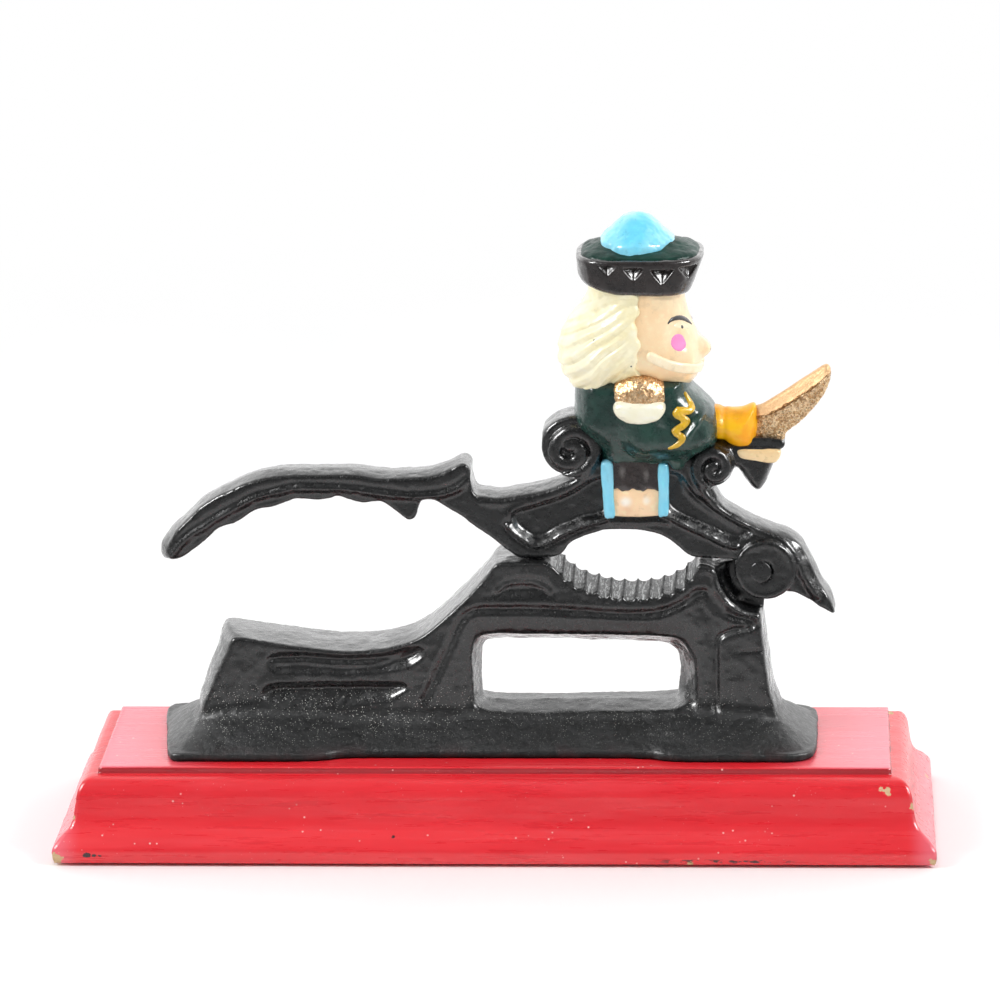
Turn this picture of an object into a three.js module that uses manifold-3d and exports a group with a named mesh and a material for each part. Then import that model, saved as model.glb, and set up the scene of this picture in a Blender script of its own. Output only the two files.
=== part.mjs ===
// Lever nutcracker: cast-iron stand on a routed wooden plinth, with a hinged
// cast-iron lever that carries a painted toy-soldier figure.
// Millimetres, +Z up. Origin at the centre of the footprint, at the underside
// of the felt pads. +X runs along the plinth towards the pivot, -Y is the front.
import * as THREE from 'three';
import { mergeVertices } from 'three/addons/utils/BufferGeometryUtils.js';
import Module from 'manifold-3d';

const wasm = await Module();
wasm.setup();

// --------------------------------------------------------- shared dimensions
const PAD_THICKNESS = 1.0;
const PLATFORM_Z = 26.6;            // top of the plinth's raised platform
const OVERCUT = 1;                  // how far a cutter passes an open face

const SCREW_X = { left: -58, right: 68 };   // fixing screws, on the centreline
const SCREW_SHANK_R = 2.4;
const SCREW_HOLE_R = SCREW_SHANK_R + 0.3;   // clearance in plinth and washer
const SCREW_TIP_Z = 36.5;
const COUNTERBORE_TOP_Z = 10;

const PIVOT = [78.7, 80.6];         // hinge axis, parallel to Y, [x, z]
const PIN_R = 3.2;
const PIN_BORE_R = PIN_R + 0.06;
const TONGUE_R = 8.6;
const TONGUE_HALF_T = 4.0;
const EAR_HALF_T = 8.3;

// Segments round a circle.
const HOLE_SEGMENTS = 32;
const PAD_SEGMENTS = 36;            // pads and washers
const PIVOT_SEGMENTS = 48;

// ------------------------------------------------------------ solid helpers
// Manifold needs shared vertices and no collapsed triangles.
function toSolid(geometry) {
  geometry.deleteAttribute('normal');
  geometry.deleteAttribute('uv');
  const merged = mergeVertices(geometry, 1e-4);
  const source = merged.index.array;
  const triangles = [];
  for (let i = 0; i < source.length; i += 3) {
    const [a, b, c] = source.slice(i, i + 3);
    if (a !== b && b !== c && a !== c) triangles.push(a, b, c);
  }
  return new wasm.Manifold(new wasm.Mesh({
    numProp: 3,
    vertProperties: new Float32Array(merged.attributes.position.array),
    triVerts: new Uint32Array(triangles),
  }));
}

function toGeometry(solid) {
  const mesh = solid.getMesh();
  const geometry = new THREE.BufferGeometry();
  const positions = new Float32Array(mesh.vertProperties);
  geometry.setAttribute('position', new THREE.BufferAttribute(positions, 3));
  geometry.setIndex(new THREE.BufferAttribute(new Uint32Array(mesh.triVerts), 1));
  geometry.computeVertexNormals();
  return geometry;
}

function join(solid, geometries) {
  return geometries.reduce((sum, geometry) => sum.add(toSolid(geometry)), solid);
}

function cut(solid, geometries) {
  return geometries.reduce((rest, geometry) => rest.subtract(toSolid(geometry)), solid);
}

// ---------------------------------------------------------- outline helpers
// Anticlockwise copy of a closed outline.
function anticlockwise(outline) {
  let doubleArea = 0;
  outline.forEach((point, i) => {
    const next = outline[(i + 1) % outline.length];
    doubleArea += point[0] * next[1] - next[0] * point[1];
  });
  return doubleArea < 0 ? outline.slice().reverse() : outline.slice();
}

// Anticlockwise outline of [x, z, share], moved outwards by amount * share.
function swell(outline, amount) {
  const count = outline.length;
  return outline.map(([x, z, share], i) => {
    const before = outline[(i + count - 1) % count];
    const after = outline[(i + 1) % count];
    const dx = after[0] - before[0];
    const dz = after[1] - before[1];
    const length = Math.hypot(dx, dz);
    const move = amount * share;
    return [x + dz / length * move, z - dx / length * move];
  });
}

function roundedRect({ x0, x1, z0, z1, radius, perCorner }) {
  const corners = [                 // [centre x, centre z, start angle in degrees]
    [x1 - radius, z0 + radius, -90], [x1 - radius, z1 - radius, 0],
    [x0 + radius, z1 - radius, 90], [x0 + radius, z0 + radius, 180],
  ];
  return corners.flatMap(([x, z, start]) => Array.from({ length: perCorner }, (_, i) => {
    const angle = THREE.MathUtils.degToRad(start + 90 * i / (perCorner - 1));
    return [x + radius * Math.cos(angle), z + radius * Math.sin(angle)];
  }));
}

// ------------------------------------------------------------ shape helpers
// Closed body through a stack of rings with equal point counts. Each ring is
// an array of [x, y, z], anticlockwise seen from +Z, stacked upwards.
function ringLoft(rings) {
  const count = rings[0].length;
  const index = [];
  for (let r = 0; r < rings.length - 1; r++) {
    for (let i = 0; i < count; i++) {
      const here = r * count + i;
      const next = r * count + (i + 1) % count;
      index.push(here, next, next + count, here, next + count, here + count);
    }
  }
  const addCap = (ring, base, facesDown) => {
    const contour = ring.map(([x, y]) => new THREE.Vector2(x, y));
    for (const triangle of THREE.ShapeUtils.triangulateShape(contour, [])) {
      const corners = triangle.map((corner) => base + corner);
      index.push(...(facesDown ? corners.reverse() : corners));
    }
  };
  addCap(rings[0], 0, true);
  addCap(rings.at(-1), (rings.length - 1) * count, false);
  const geometry = new THREE.BufferGeometry();
  const positions = new Float32Array(rings.flat(2));
  geometry.setAttribute('position', new THREE.BufferAttribute(positions, 3));
  geometry.setIndex(index);
  return geometry;
}

// Plate standing in the XZ plane, from [offset, outline] sections with the
// offset rising. The rotation sends offset to -Y, and outlines to [x, z].
function standingPlate(sections) {
  const rings = sections.map(([offset, outline]) => outline.map(([x, z]) => [x, z, offset]));
  return ringLoft(rings).rotateX(Math.PI / 2);
}

// Plate of even thickness, centred on Y = 0.
function slab(outline, halfThickness) {
  const ordered = anticlockwise(outline);
  return standingPlate([[-halfThickness, ordered], [halfThickness, ordered]]);
}

// Cylinder along Y, centred on Y = 0.
function disc([x, z], radius, halfThickness, segments) {
  return new THREE.CylinderGeometry(radius, radius, 2 * halfThickness, segments)
    .translate(x, 0, z);
}

// Upright cylinder.
function post([x, y], radius, bottom, top, segments) {
  return new THREE.CylinderGeometry(radius, radius, top - bottom, segments)
    .rotateX(Math.PI / 2)
    .translate(x, y, (bottom + top) / 2);
}

function box([x, y, z], [sizeX, sizeY, sizeZ]) {
  return new THREE.BoxGeometry(sizeX, sizeY, sizeZ).translate(x, y, z);
}

// Ellipsoid with its poles on Z; segments are [around, pole to pole].
function blob([x, y, z], [radiusX, radiusY, radiusZ], segments) {
  return new THREE.SphereGeometry(1, ...segments)
    .rotateX(Math.PI / 2)
    .scale(radiusX, radiusY, radiusZ)
    .translate(x, y, z);
}

// Turned body about Y from [radius, height] points.
function turned(profile, segments) {
  const points = profile.map(([radius, height]) => new THREE.Vector2(radius, height));
  return new THREE.LatheGeometry(points, segments);
}

// Loft of superellipse rings from stations [z, x0, x1, half depth, slope],
// where slope is the rise in Z per mm of X.
function bodyLoft(stations, power = 2.4, count = 24) {
  const unit = (value) => Math.sign(value) * Math.abs(value) ** (2 / power);
  return ringLoft(stations.map(([z, x0, x1, halfDepth, slope = 0]) => {
    const centre = (x0 + x1) / 2;
    const halfWidth = (x1 - x0) / 2;
    return Array.from({ length: count }, (_, i) => {
      const angle = 2 * Math.PI * i / count;
      const unitX = unit(Math.cos(angle));
      const unitY = unit(Math.sin(angle));
      return [centre + halfWidth * unitX, halfDepth * unitY, z + slope * halfWidth * unitX];
    });
  }));
}

// ----------------------------------------------------------------- materials
const redPaint = new THREE.MeshStandardMaterial({
  color: 0xe2434c, roughness: 0.35, metalness: 0.0,
});
const blackIron = new THREE.MeshStandardMaterial({
  color: 0x26282a, roughness: 0.35, metalness: 0.3,
});
const steel = new THREE.MeshStandardMaterial({
  color: 0x55585b, roughness: 0.4, metalness: 0.9,
});
const zinc = new THREE.MeshStandardMaterial({
  color: 0x9a9c9e, roughness: 0.35, metalness: 0.9,
});
const felt = new THREE.MeshStandardMaterial({
  color: 0x2a2a28, roughness: 0.95, metalness: 0.0,
});

// -------------------------------------------------------------------- plinth
const PLINTH_LENGTH = 260;
const PLINTH_DEPTH = 82.4;
const PLINTH_PROFILE = [            // [inset from the outer edge, z]
  [0.6, PAD_THICKNESS], [0.0, 2.6], [0.0, 4.4], [0.8, 6.3], [2.4, 8.2], [4.6, 10.0],
  [5.8, 12.1], [6.5, 15.4], [7.1, 19.5], [8.2, 22.5], [9.7, 24.0],
  [13.0, 24.5], [13.2, PLATFORM_Z],
];
const COUNTERBORE_R = 6.4;
const SCREW_HOLE_CUT_TOP_Z = 30;    // clear of the platform

function makePlinth() {
  const rings = PLINTH_PROFILE.map(([inset, z]) => {
    const x = PLINTH_LENGTH / 2 - inset;
    const y = PLINTH_DEPTH / 2 - inset;
    return [[-x, -y, z], [x, -y, z], [x, y, z], [-x, y, z]];
  });
  const holes = Object.values(SCREW_X).flatMap((x) => [
    post([x, 0], SCREW_HOLE_R, 0, SCREW_HOLE_CUT_TOP_Z, HOLE_SEGMENTS),
    post([x, 0], COUNTERBORE_R, -OVERCUT, COUNTERBORE_TOP_Z, HOLE_SEGMENTS),
  ]);
  return cut(toSolid(ringLoft(rings)), holes);
}

// ------------------------------------------------------------- stand casting
// Foot: dog-bone plan, [x, y], whose left end runs out a little to the back.
const FOOT_PLAN = [
  [95.2, -9], [95.4, 8], [95.2, 17.5], [92, 22.2], [86, 23.6], [58, 23.6], [50, 22.6],
  [43, 20.6], [0, 20.5], [-43, 20.6], [-50, 22.6], [-57, 23.6], [-97.4, 23.6],
  [-100.8, 21.8], [-101.6, 18], [-100.4, 6], [-97.8, -14], [-95.8, -20.6], [-93, -23.2],
  [-88, -23.8], [-57, -23.6], [-50, -22.6], [-43, -20.6], [0, -20.5], [43, -20.6],
  [50, -22.6], [58, -23.6], [84, -23.6], [89, -23.2], [92.9, -21], [94.6, -16.5],
];
// Nominal half sizes at which the full inset of a foot station applies.
const FOOT_HALF_LENGTH = 95.4;
const FOOT_HALF_DEPTH = 23.6;
// Edge and dome of the foot: [height above the platform, inset in X, inset in Y].
const FOOT_STATIONS = [
  [0.02, 0, 0], [2.6, 0.2, 0.2], [3.2, 0.9, 0.9], [6.0, 4.0, 5.0],
  [9.0, 7.6, 9.6], [11.2, 12.0, 14.2], [12.2, 19.0, 19.0],
];

const STAND_HALF_T = 10.2;
const STAND_DRAFT = 1.3;            // extra outline at mid thickness
const DRAFT_BAND = 0.35;            // share of the half thickness at full draft
// Front-face outline of the body above the foot, [x, z, share of the draft],
// clockwise from the lower left: hump, saddle, slope, lever rest, nut cup,
// pivot seat, upright.
const STAND_OUTLINE = [
  [-88.3, 33, 1.3], [-86.6, 40.5, 1.3], [-85.2, 43.6, 1.3], [-83.9, 47.7, 1.3],
  [-82.3, 51.8, 1.3], [-80.9, 55.5, 1.2], [-79.8, 58.0, 1.1], [-78.4, 59.7, 0.9],
  [-76.7, 60.5, 0.7], [-74.0, 60.5, 0.6], [-68.2, 59.5, 0.6], [-60.5, 58.2, 0.6],
  [-51.9, 57.0, 0.6], [-45.0, 56.5, 0.6], [-37.0, 56.8, 0.6], [-30.0, 57.9, 0.6],
  [-23.5, 60.1, 0.7], [-18.4, 63.5, 0.7], [-12.9, 68.6, 0.7], [-6.9, 74.4, 0.7],
  [-2.6, 79.2, 0.6], [0.2, 83.0, 0.3], [2.2, 83.9, 0.0], [9.0, 83.95, 0.0],
  [14.6, 83.95, 0.0], [17.0, 83.4, 0.0], [19.0, 81.6, 0.1], [20.4, 79.4, 0.2],
  [22.7, 77.3, 0.3], [25.6, 75.6, 0.3], [29.1, 74.3, 0.3], [32.9, 73.2, 0.3],
  [37.0, 72.5, 0.3], [41.4, 72.3, 0.3], [45.6, 72.6, 0.3], [49.7, 73.4, 0.3],
  [53.0, 74.6, 0.3], [55.6, 76.0, 0.3], [57.7, 77.9, 0.2], [59.3, 80.3, 0.1],
  [60.2, 82.8, 0.0], [61.6, 83.1, 0.0], [64.2, 82.6, 0.0], [65.4, 81.6, 0.0],
  [66.1, 79.4, 0.0], [67.0, 76.9, 0.0], [68.6, 73.9, 0.0], [70.9, 71.2, 0.0],
  [73.9, 69.1, 0.0], [77.2, 68.0, 0.0], [78.9, 67.6, 0.4], [79.2, 62.0, 1.0],
  [79.8, 56.0, 1.2], [80.5, 50.0, 1.3], [81.4, 44.0, 1.3], [82.6, 39.8, 1.3],
  [84.4, 33, 1.3],
];

// Window through the body, narrowest at mid thickness.
const WINDOW_CORNER = { radius: 4.2, perCorner: 6 };
const WINDOW_OUTER = { x0: -8.2, x1: 61.4, z0: 38.4, z1: 63.4, ...WINDOW_CORNER };
const WINDOW_INNER = { x0: -4.3, x1: 54.5, z0: 38.8, z1: 57.2, ...WINDOW_CORNER };
const WINDOW_OUTER_HALF_T = 12.5;
const WINDOW_INNER_HALF_T = 1.5;

// Grooves along Y in the nut cup, centred on an arc.
const CUP = {
  centre: [40.6, 97.6], radius: 24.6,
  grooves: 9, grooveRadius: 2.3, grooveStep: 9.6,    // step in degrees
  cutHalfLength: 12, segments: 14,
};

// Web joining the round end of the pivot tongue to the body, [x, z].
const TONGUE_WEB = [
  PIVOT, [70.4, 82.6], [65.6, 82.0], [63, 78], [64, 66], [77, 64], [79.2, 66.5], [80.0, 72.2],
];
const TONGUE_BORE_R = PIN_BORE_R + 0.02;
const TONGUE_CUT_HALF_LENGTH = 6;

const TAPPED_R = SCREW_SHANK_R + 0.08;
const TAPPED_CUT_BOTTOM_Z = 20;     // clear of the foot's underside
const TAPPED_TOP_Z = SCREW_TIP_Z + 1.5;

function footShape() {
  return ringLoft(FOOT_STATIONS.map(([height, insetX, insetY]) => FOOT_PLAN.map(([x, y]) => [
    x * (1 - insetX / FOOT_HALF_LENGTH),
    y * (1 - insetY / FOOT_HALF_DEPTH),
    PLATFORM_Z + height,
  ])));
}

function standBody() {
  const face = anticlockwise(STAND_OUTLINE);
  const middle = swell(face, STAND_DRAFT);
  const middleHalf = STAND_HALF_T * DRAFT_BAND;
  return standingPlate([
    [-STAND_HALF_T, face], [-middleHalf, middle], [middleHalf, middle], [STAND_HALF_T, face],
  ]);
}

function standWindow() {
  const outer = roundedRect(WINDOW_OUTER);
  const inner = roundedRect(WINDOW_INNER);
  return standingPlate([
    [-WINDOW_OUTER_HALF_T, outer], [-WINDOW_INNER_HALF_T, inner],
    [WINDOW_INNER_HALF_T, inner], [WINDOW_OUTER_HALF_T, outer],
  ]);
}

function cupGrooves() {
  return Array.from({ length: CUP.grooves }, (_, i) => {
    const step = i - (CUP.grooves - 1) / 2;
    const angle = THREE.MathUtils.degToRad(-90 + step * CUP.grooveStep);
    const x = CUP.centre[0] + CUP.radius * Math.cos(angle);
    const z = CUP.centre[1] + CUP.radius * Math.sin(angle);
    return disc([x, z], CUP.grooveRadius, CUP.cutHalfLength, CUP.segments);
  });
}

function makeStand() {
  let stand = join(toSolid(footShape()), [standBody()]);
  stand = cut(stand, [standWindow(), ...cupGrooves()]);
  stand = join(stand, [
    slab(TONGUE_WEB, TONGUE_HALF_T),
    disc(PIVOT, TONGUE_R, TONGUE_HALF_T, PIVOT_SEGMENTS),
  ]);
  return cut(stand, [
    disc(PIVOT, TONGUE_BORE_R, TONGUE_CUT_HALF_LENGTH, PIVOT_SEGMENTS),
    ...Object.values(SCREW_X).map((x) => (
      post([x, 0], TAPPED_R, TAPPED_CUT_BOTTOM_Z, TAPPED_TOP_Z, HOLE_SEGMENTS))),
  ]);
}

// ------------------------------------------------------------- lever casting
const LEVER_HALF_T = 6.6;
const EAR_R = 9.0;
const EAR_CENTRE = [80.0, 81.0];
const LEVER_CUT_HALF_LENGTH = 12;
// Fork slot for the tongue, wider below, where the stand's shoulder swings past.
const SLOT_HALF_T = TONGUE_HALF_T + 0.25;
const SLOT_R = TONGUE_R + 0.6;
const SLOT_LOW = { radius: 12.6, start: 170, end: 345, step: 7 };    // degrees

// Side outline of the lever bar, [x, z], clockwise from the handle's tip.
const LEVER_OUTLINE = [
  [-96.9, 84.4], [-97.0, 87.2], [-95.4, 90.4], [-93.7, 93.4], [-91.9, 95.1], [-89.9, 97.4],
  [-86.9, 100.4], [-83.8, 102.5], [-80.7, 104.2], [-77.6, 105.6], [-74.6, 107.1],
  [-71.6, 108.4], [-68.5, 109.3], [-65.5, 109.8], [-61.0, 110.3], [-50.7, 110.4],
  [-40.6, 110.4], [-33.6, 109.5], [-26.2, 109.5], [-19.0, 109.9], [-15.4, 110.9],
  [-12.4, 112.1], [-10.4, 113.6], [-8.0, 116.0], [-6.2, 114.2], [-5.8, 111.6],
  [-5.9, 108.8], [-4.8, 104.5], [-1.4, 103.7], [2.2, 103.4], [8.2, 104.3], [14.3, 105.5],
  [20.3, 107.7], [23.6, 109.2], [26.4, 111.2], [29.5, 113.8], [44, 115.0], [58, 114.6],
  [61.9, 107.0], [64.6, 103.7], [67.6, 100.9], [71.2, 98.2], [74.8, 96.1], [78.7, 94.1],
  [82.6, 92.6], [86.9, 91.2], [90.3, 88.8], [92.4, 85.3], [94.8, 80.5], [96.5, 76.4],
  [99.8, 71.6], [100.9, 66.8], [96.6, 68.6], [93.0, 70.9], [89.0, 73.2], [86.6, 73.6],
  [80.0, 74.2], [72.6, 80.8], [70.6, 83.7], [68.3, 83.9], [63.5, 84.2], [59.3, 84.5],
  [57.1, 85.3], [54.8, 87.3], [52.2, 89.4], [48.5, 91.3], [44.2, 92.3], [38.9, 92.8],
  [34.5, 92.8], [31.6, 92.4], [27.0, 90.8], [24.2, 89.3], [22.4, 87.9], [21.3, 86.1],
  [19.7, 84.8], [17.0, 84.35], [14.0, 84.25], [10.0, 84.25], [7.3, 84.35], [4.6, 86.0],
  [3.0, 87.0], [1.7, 88.3], [-1.9, 91.2], [-5.5, 93.7], [-9.1, 96.4], [-14.0, 99.6],
  [-16.0, 101.0], [-18.3, 101.7], [-20.1, 101.7], [-21.2, 101.0], [-22.0, 99.2],
  [-22.4, 97.3], [-23.3, 96.0], [-24.8, 95.4], [-26.2, 96.1], [-28.3, 97.8], [-30.3, 99.5],
  [-32.5, 101.0], [-33.7, 101.3], [-35.8, 101.0], [-38.3, 100.8], [-41.6, 101.6],
  [-44.2, 102.5], [-45.9, 103.0], [-48.1, 102.2], [-50.8, 101.7], [-53.3, 101.8],
  [-58.2, 102.0], [-60.5, 101.3], [-63.0, 100.4], [-65.6, 99.5], [-68.6, 99.2],
  [-70.5, 98.7], [-72.6, 97.4], [-74.7, 95.9], [-77.1, 94.6], [-79.5, 93.8], [-82.4, 92.8],
  [-84.2, 91.0], [-87.0, 88.5], [-89.4, 86.6], [-91.4, 85.1], [-94.4, 83.8], [-95.9, 83.5],
];
// Web that ties the right-hand scroll to the sabre's guard, [x, z].
const GUARD_WEB_HALF_T = 4.2;
const GUARD_WEB = [
  [58, 118], [59, 107], [65.2, 105.4], [67.6, 107.7], [70.9, 110.1], [71.8, 110.4],
  [74.1, 106.8], [77.9, 103.3], [80.3, 105.3], [83.1, 111.8], [84.3, 115.3],
  [85.2, 119.2], [76.0, 120.0], [66, 120.0],
];
// Scrolls either side of the figure: [centre, radius, half thickness, segments].
const SCROLLS = [
  [[23.2, 117.9], 7.3, 7.4, 28],
  [[64.0, 112.2], 5.9, 7.2, 24],
];
// Crest on top of the left-hand scroll, [x, z].
const CREST_HALF_T = 6.2;
const CREST = [[14.6, 122.6], [18, 125.2], [25, 127.4], [28, 124], [24, 118], [15, 117]];

// The figure faces +X. Lofts are stations for bodyLoft, [z, x0, x1, half depth];
// blobs are [centre, radii, segments].
const LEG_BLOCK = { centre: [42.0, 0, 106.0], size: [20.0, 16.6, 19.0] };
const JACKET = [
  [110.6, 32.5, 57.5, 7.4], [114.5, 29.4, 61.0, 8.8], [119.0, 26.6, 65.2, 10.6],
  [124.0, 24.5, 66.2, 12.2], [129.0, 24.2, 65.4, 12.8], [133.0, 24.8, 62.4, 12.0],
  [136.5, 26.4, 58.4, 9.6], [138.5, 30.0, 54.0, 7.0],
];
const NECK_AND_SKULL = [
  [112, 34, 56, 6.6], [134, 31, 57, 8.8], [150, 30, 56, 10.5], [172, 31, 57, 11.5],
];
const HEAD_BLOBS = [
  [[34.2, 0, 148.2], [14.0, 13.4, 15.2], [22, 14]],    // hair at the back
  [[48.0, 0, 149.0], [11.6, 11.6, 15.0], [22, 14]],    // face
  [[60.6, 0, 145.6], [3.8, 2.8, 4.6], [12, 8]],        // nose
  [[54.0, 0, 139.6], [6.8, 7.6, 5.0], [14, 9]],        // bulge below the nose
];
const HAT_POWER = 2.0;              // elliptical rings
const HAT_RING_POINTS = 28;
const HAT = [                       // with the slope as fifth column
  [162.2, 29.6, 58.6, 12.6, -0.06], [168.5, 27.4, 60.8, 14.6, -0.03],
  [174.6, 25.6, 62.5, 16.4, 0], [176.4, 26.4, 61.8, 15.8, 0], [178.4, 31.0, 56.5, 11.0, 0],
];
const POMPOM = [[42.6, 0, 178.6], [10.8, 9.6, 9.4], [20, 12]];
const SABRE_ARM = [[70.6, -2.0, 122.2], [7.8, 6.6, 6.8], [18, 12]];
// Sabre blade, [x, z].
const SABRE_HALF_T = 3.0;
const SABRE_OUTLINE = [
  [76.0, 128.4], [79.4, 130.1], [85.0, 133.6], [90.2, 137.2], [94.4, 139.9], [98.3, 142.0],
  [99.7, 139.6], [99.4, 136.7], [97.8, 132.7], [95.0, 128.7], [90.6, 124.1], [86.4, 120.8],
  [85.5, 118.4], [76.0, 118.4],
];

function forkSlot() {
  const sector = [PIVOT];
  for (let degrees = SLOT_LOW.start; degrees <= SLOT_LOW.end; degrees += SLOT_LOW.step) {
    const angle = THREE.MathUtils.degToRad(degrees);
    sector.push([
      PIVOT[0] + SLOT_LOW.radius * Math.cos(angle),
      PIVOT[1] + SLOT_LOW.radius * Math.sin(angle),
    ]);
  }
  const round = toSolid(disc(PIVOT, SLOT_R, SLOT_HALF_T, PIVOT_SEGMENTS));
  return join(round, [slab(sector, SLOT_HALF_T)]);
}

// Shoulder with the epaulette below it; side is -1 at the front, 1 at the back.
function shoulder(side) {
  return [
    blob([43.7, side * 10.6, 135.2], [8.3, 5.2, 6.4], [18, 11]),
    blob([43.7, side * 12.2, 131.2], [7.6, 3.6, 3.8], [18, 11]),
  ];
}

function figureParts() {
  return [
    box(LEG_BLOCK.centre, LEG_BLOCK.size),
    bodyLoft(JACKET),
    ...shoulder(-1),
    ...shoulder(1),
    bodyLoft(NECK_AND_SKULL),
    ...HEAD_BLOBS.map((entry) => blob(...entry)),
    bodyLoft(HAT, HAT_POWER, HAT_RING_POINTS),
    blob(...POMPOM),
    blob(...SABRE_ARM),
    slab(SABRE_OUTLINE, SABRE_HALF_T),
  ];
}

function makeLever() {
  let lever = join(toSolid(slab(LEVER_OUTLINE, LEVER_HALF_T)), [
    slab(GUARD_WEB, GUARD_WEB_HALF_T),
    disc(EAR_CENTRE, EAR_R, EAR_HALF_T, PIVOT_SEGMENTS),
    ...SCROLLS.map((entry) => disc(...entry)),
    slab(CREST, CREST_HALF_T),
  ]);
  lever = lever.subtract(forkSlot());
  lever = cut(lever, [disc(PIVOT, PIN_BORE_R, LEVER_CUT_HALF_LENGTH, PIVOT_SEGMENTS)]);
  return join(lever, figureParts());
}

// ----------------------------------------------------------------- pivot pin
const PIN_HALF_L = EAR_HALF_T + 0.6;    // stands proud of the ear on both faces
const PIN_CHAMFER = 0.5;

function makePin() {
  const profile = [
    [0, -PIN_HALF_L], [PIN_R - PIN_CHAMFER, -PIN_HALF_L], [PIN_R, -PIN_HALF_L + PIN_CHAMFER],
    [PIN_R, PIN_HALF_L - PIN_CHAMFER], [PIN_R - PIN_CHAMFER, PIN_HALF_L], [0, PIN_HALF_L],
  ];
  return toSolid(turned(profile, PIVOT_SEGMENTS).translate(PIVOT[0], 0, PIVOT[1]));
}

// -------------------------------------------------------- screws and washers
const WASHER_R = 6.0;
const WASHER_T = 1.0;
const WASHER_BOTTOM_Z = COUNTERBORE_TOP_Z - WASHER_T - 0.02;
const SCREW_HEAD_R = 4.8;
const SCREW_HEAD_H = 3.0;
const HEAD_TOP_Z = COUNTERBORE_TOP_Z - WASHER_T - 0.04;
const HEAD_BOTTOM_Z = HEAD_TOP_Z - SCREW_HEAD_H;
const SCREW_PROFILE = [             // [radius, z], from the rounded head up to the tip
  [0, HEAD_BOTTOM_Z], [3.4, HEAD_BOTTOM_Z], [4.4, HEAD_BOTTOM_Z + 0.7],
  [SCREW_HEAD_R, HEAD_BOTTOM_Z + 1.6], [SCREW_HEAD_R, HEAD_TOP_Z],
  [SCREW_SHANK_R, HEAD_TOP_Z], [SCREW_SHANK_R, SCREW_TIP_Z - 1.0],
  [SCREW_SHANK_R - 0.9, SCREW_TIP_Z], [0, SCREW_TIP_Z],
];
const DRIVER_SLOT_SIZE = [12, 1.2, 1.3];
const DRIVER_SLOT_Z = HEAD_BOTTOM_Z + 0.6;

function makeScrew(x) {
  const body = turned(SCREW_PROFILE, HOLE_SEGMENTS).rotateX(Math.PI / 2).translate(x, 0, 0);
  return cut(toSolid(body), [box([x, 0, DRIVER_SLOT_Z], DRIVER_SLOT_SIZE)]);
}

function makeWasher(x) {
  const top = WASHER_BOTTOM_Z + WASHER_T;
  return cut(toSolid(post([x, 0], WASHER_R, WASHER_BOTTOM_Z, top, PAD_SEGMENTS)), [
    post([x, 0], SCREW_HOLE_R, WASHER_BOTTOM_Z - OVERCUT, top + OVERCUT, PAD_SEGMENTS),
  ]);
}

// ----------------------------------------------------------------- felt pads
const PAD_RADIUS = 8;
const PAD_X = 112;
const PAD_Y = 30;
const PAD_GAP = 0.01;               // between pad and plinth

function padShape(x, y) {
  return post([x, y], PAD_RADIUS, 0, PAD_THICKNESS - PAD_GAP, PAD_SEGMENTS);
}

// ------------------------------------------------------------------ assembly
const group = new THREE.Group();

function addMesh(name, geometry, material) {
  const mesh = new THREE.Mesh(geometry, material);
  mesh.name = name;
  group.add(mesh);
}

addMesh('plinth', toGeometry(makePlinth()), redPaint);
addMesh('stand_casting', toGeometry(makeStand()), blackIron);
addMesh('lever_casting', toGeometry(makeLever()), blackIron);
addMesh('pivot_pin', toGeometry(makePin()), steel);
for (const [side, x] of Object.entries(SCREW_X)) {
  addMesh(`foot_screw_${side}`, toGeometry(makeScrew(x)), zinc);
  addMesh(`foot_washer_${side}`, toGeometry(makeWasher(x)), zinc);
}
for (const [row, y] of [['front', -PAD_Y], ['back', PAD_Y]]) {
  for (const [side, x] of [['left', -PAD_X], ['right', PAD_X]]) {
    addMesh(`pad_${row}_${side}`, padShape(x, y), felt);
  }
}

export default group;
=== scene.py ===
"""A cast-iron lever cracker on a moulded red plinth.

x runs along the plinth, with the lever's handle at -x and the pivot at +x.  The front faces -y
and z is up from the floor.  The painted figure rides on the lever, facing +x.
Lengths are millimetres and become metres where meshes are made.
Each cast or painted piece is a distance field, negative inside, meshed on a grid.
"""
import bpy
import math
from itertools import combinations

import numpy as np
from mathutils import Matrix, Vector


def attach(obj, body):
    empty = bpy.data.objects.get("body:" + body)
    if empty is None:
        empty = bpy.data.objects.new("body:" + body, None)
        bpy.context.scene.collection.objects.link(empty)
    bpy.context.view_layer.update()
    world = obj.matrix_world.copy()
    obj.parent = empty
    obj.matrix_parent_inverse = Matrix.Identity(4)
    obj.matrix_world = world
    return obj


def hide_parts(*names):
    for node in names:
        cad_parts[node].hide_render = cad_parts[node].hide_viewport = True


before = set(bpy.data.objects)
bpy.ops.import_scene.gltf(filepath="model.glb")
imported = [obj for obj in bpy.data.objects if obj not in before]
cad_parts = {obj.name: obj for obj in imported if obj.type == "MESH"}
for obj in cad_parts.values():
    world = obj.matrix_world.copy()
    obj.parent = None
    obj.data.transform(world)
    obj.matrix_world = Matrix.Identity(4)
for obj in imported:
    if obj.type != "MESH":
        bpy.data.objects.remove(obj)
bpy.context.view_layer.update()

MM = 0.001                      # metres in a millimetre

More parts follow.
